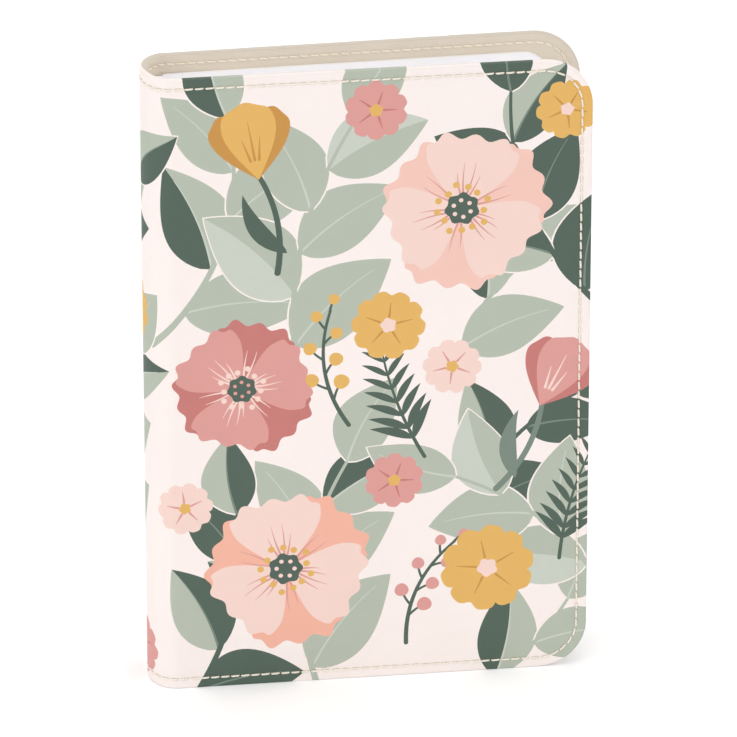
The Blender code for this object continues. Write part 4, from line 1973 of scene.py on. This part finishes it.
@dataclass(frozen=True)
class Studio:
    """Camera, floor and soft light."""

    target: tuple[float, float, float] = (0.0, 0.0, 0.109)
    pitch: float = radians(25.092)
    yaw: float = radians(8.329)
    distance: float = 2.5
    lens: float = 373.6
    aim_right: float = 0.00145
    aim_up: float = -0.00174
    sensor: float = 36.0
    farthest: float = 100.0
    ambient: float = 0.6
    floor_colour: Colour = (250, 250, 250)
    floor_glow: float = 0.1
    floor_reach: float = 20.0
    floor_points: int = 9
    speck_colour: Colour = (249, 249, 249)
    speck_scale: float = 30.0
    speck_span: Span = (0.3, 0.7, 0.0, 1.0)
    lamps: tuple[Lamp, ...] = (
        Lamp("key", (-1.8, -1.9, 0.5), 1.6, 11.2),
        Lamp("left", (-2.3, -0.5, 0.5), 1.0, 4.5),
        Lamp("fill", (1.5, -2.0, 0.5), 1.6, 5.0),
        Lamp("top", (0.1, -0.25, 2.4), 1.8, 24.0),
        Lamp("side", (2.3, 0.5, 0.9), 1.6, 9.0),
        Lamp("rear", (-0.4, 2.4, 0.9), 1.6, 12.0),
    )

    def add_camera(self) -> None:
        """Camera at the photograph's angle, moved sideways to its framing."""
        back = Vector((-cos(self.pitch) * sin(self.yaw), -cos(self.pitch) * cos(self.yaw), sin(self.pitch)))
        right = Vector((cos(self.yaw), -sin(self.yaw), 0.0))
        up = back.cross(right)
        aim = Vector(self.target) + self.aim_right * right + self.aim_up * up
        data = bpy.data.cameras.new("camera")
        data.sensor_width = self.sensor
        data.lens = self.lens
        data.clip_end = self.farthest
        camera = bpy.data.objects.new("camera", data)
        bpy.context.scene.collection.objects.link(camera)
        camera.location = aim + self.distance * back
        camera.rotation_euler = back.to_track_quat("Z", "Y").to_euler()
        bpy.context.scene.camera = camera

    def add_floor(self) -> None:
        """Wide pale floor that takes the shadow."""
        material, graph, shader = start_material("floor", 0.9, 0.1)
        speck = graph.noise(graph.place(), self.speck_scale)
        share = graph.span(speck, *self.speck_span)
        colour = graph.mix(share, linear(self.speck_colour), linear(self.floor_colour))
        glow = graph.math("MULTIPLY", graph.shown(), self.floor_glow)
        shader.inputs["Emission Strength"].default_value = 1.0
        graph.join(shader, Base_Color=colour, Emission_Color=graph.grey(glow))
        count = self.floor_points
        size = np.linspace(-self.floor_reach, self.floor_reach, count)
        x, y = np.meshgrid(size, size)
        points = np.stack((x, y, np.zeros_like(x)), axis=-1).reshape(-1, 3)
        Patch(points, padded_faces(grid_faces(count, count))).make("floor", material)

    def add_light(self) -> None:
        """Even world light, white where the camera looks past the floor, and the softboxes."""
        world = bpy.data.worlds.new("studio")
        world.use_nodes = True
        bpy.context.scene.world = world
        graph = Graph(world.node_tree)
        shader = world.node_tree.nodes["Background"]
        shader.inputs["Color"].default_value = (1.0, 1.0, 1.0, 1.0)
        graph.join(shader, Strength=graph.span(graph.shown(), 0.0, 1.0, self.ambient, 1.0))
        for lamp in self.lamps:
            data = bpy.data.lights.new(lamp.name, "AREA")
            data.size = lamp.size
            data.energy = lamp.power
            obj = bpy.data.objects.new(lamp.name, data)
            bpy.context.scene.collection.objects.link(obj)
            obj.location = lamp.at
            obj.rotation_euler = (Vector(lamp.at) - Vector(self.target)).to_track_quat("Z", "Y").to_euler()

    def build(self) -> None:
        """Sets up the whole studio."""
        bpy.context.scene.view_settings.view_transform = "Standard"
        self.add_camera()
        self.add_floor()
        self.add_light()


def main() -> None:
    """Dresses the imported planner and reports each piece."""
    logging.basicConfig(level=logging.INFO, format="%(name)s: %(message)s")
    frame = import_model()
    Studio().build()
    form = CoverForm.of_frame()
    art = CoverPrint(SPRAYS)
    groups = Groups(grain_group(), fibre_group())
    skin = PrintedLeatherette().material(groups)
    lining = PlainLeatherette().material(groups)
    board = BOARD.material(groups)
    needle = NEEDLE_THREAD.material(groups)
    bobbin = BOBBIN_THREAD.material(groups)
    ruled = RULED_PAGE.material(groups)
    plain = ENDPAPER.material(groups)
    pieces: list[bpy.types.Object] = []
    for side in Side:
        cover = Cover(form, side, art)
        cover.add_skin(skin)
        cover.add_lining(lining)
        cover.add_board(board)
        cover.add_stitches(Face.OUTER, needle)
        cover.add_stitches(Face.INNER, bobbin)
        pieces += cover.pieces
    block = PageBlock.of_frame(form, frame["nodes"])
    block.build(ruled, plain)
    pieces += block.pieces
    backing = frame["nodes"]["spine_backing"]
    backing.data.materials.clear()
    backing.data.materials.append(WovenCloth().material(groups))
    for piece in pieces:
        LOG.info("%s: %d faces", piece.name, len(piece.data.polygons))


if __name__ == "__main__":
    main()
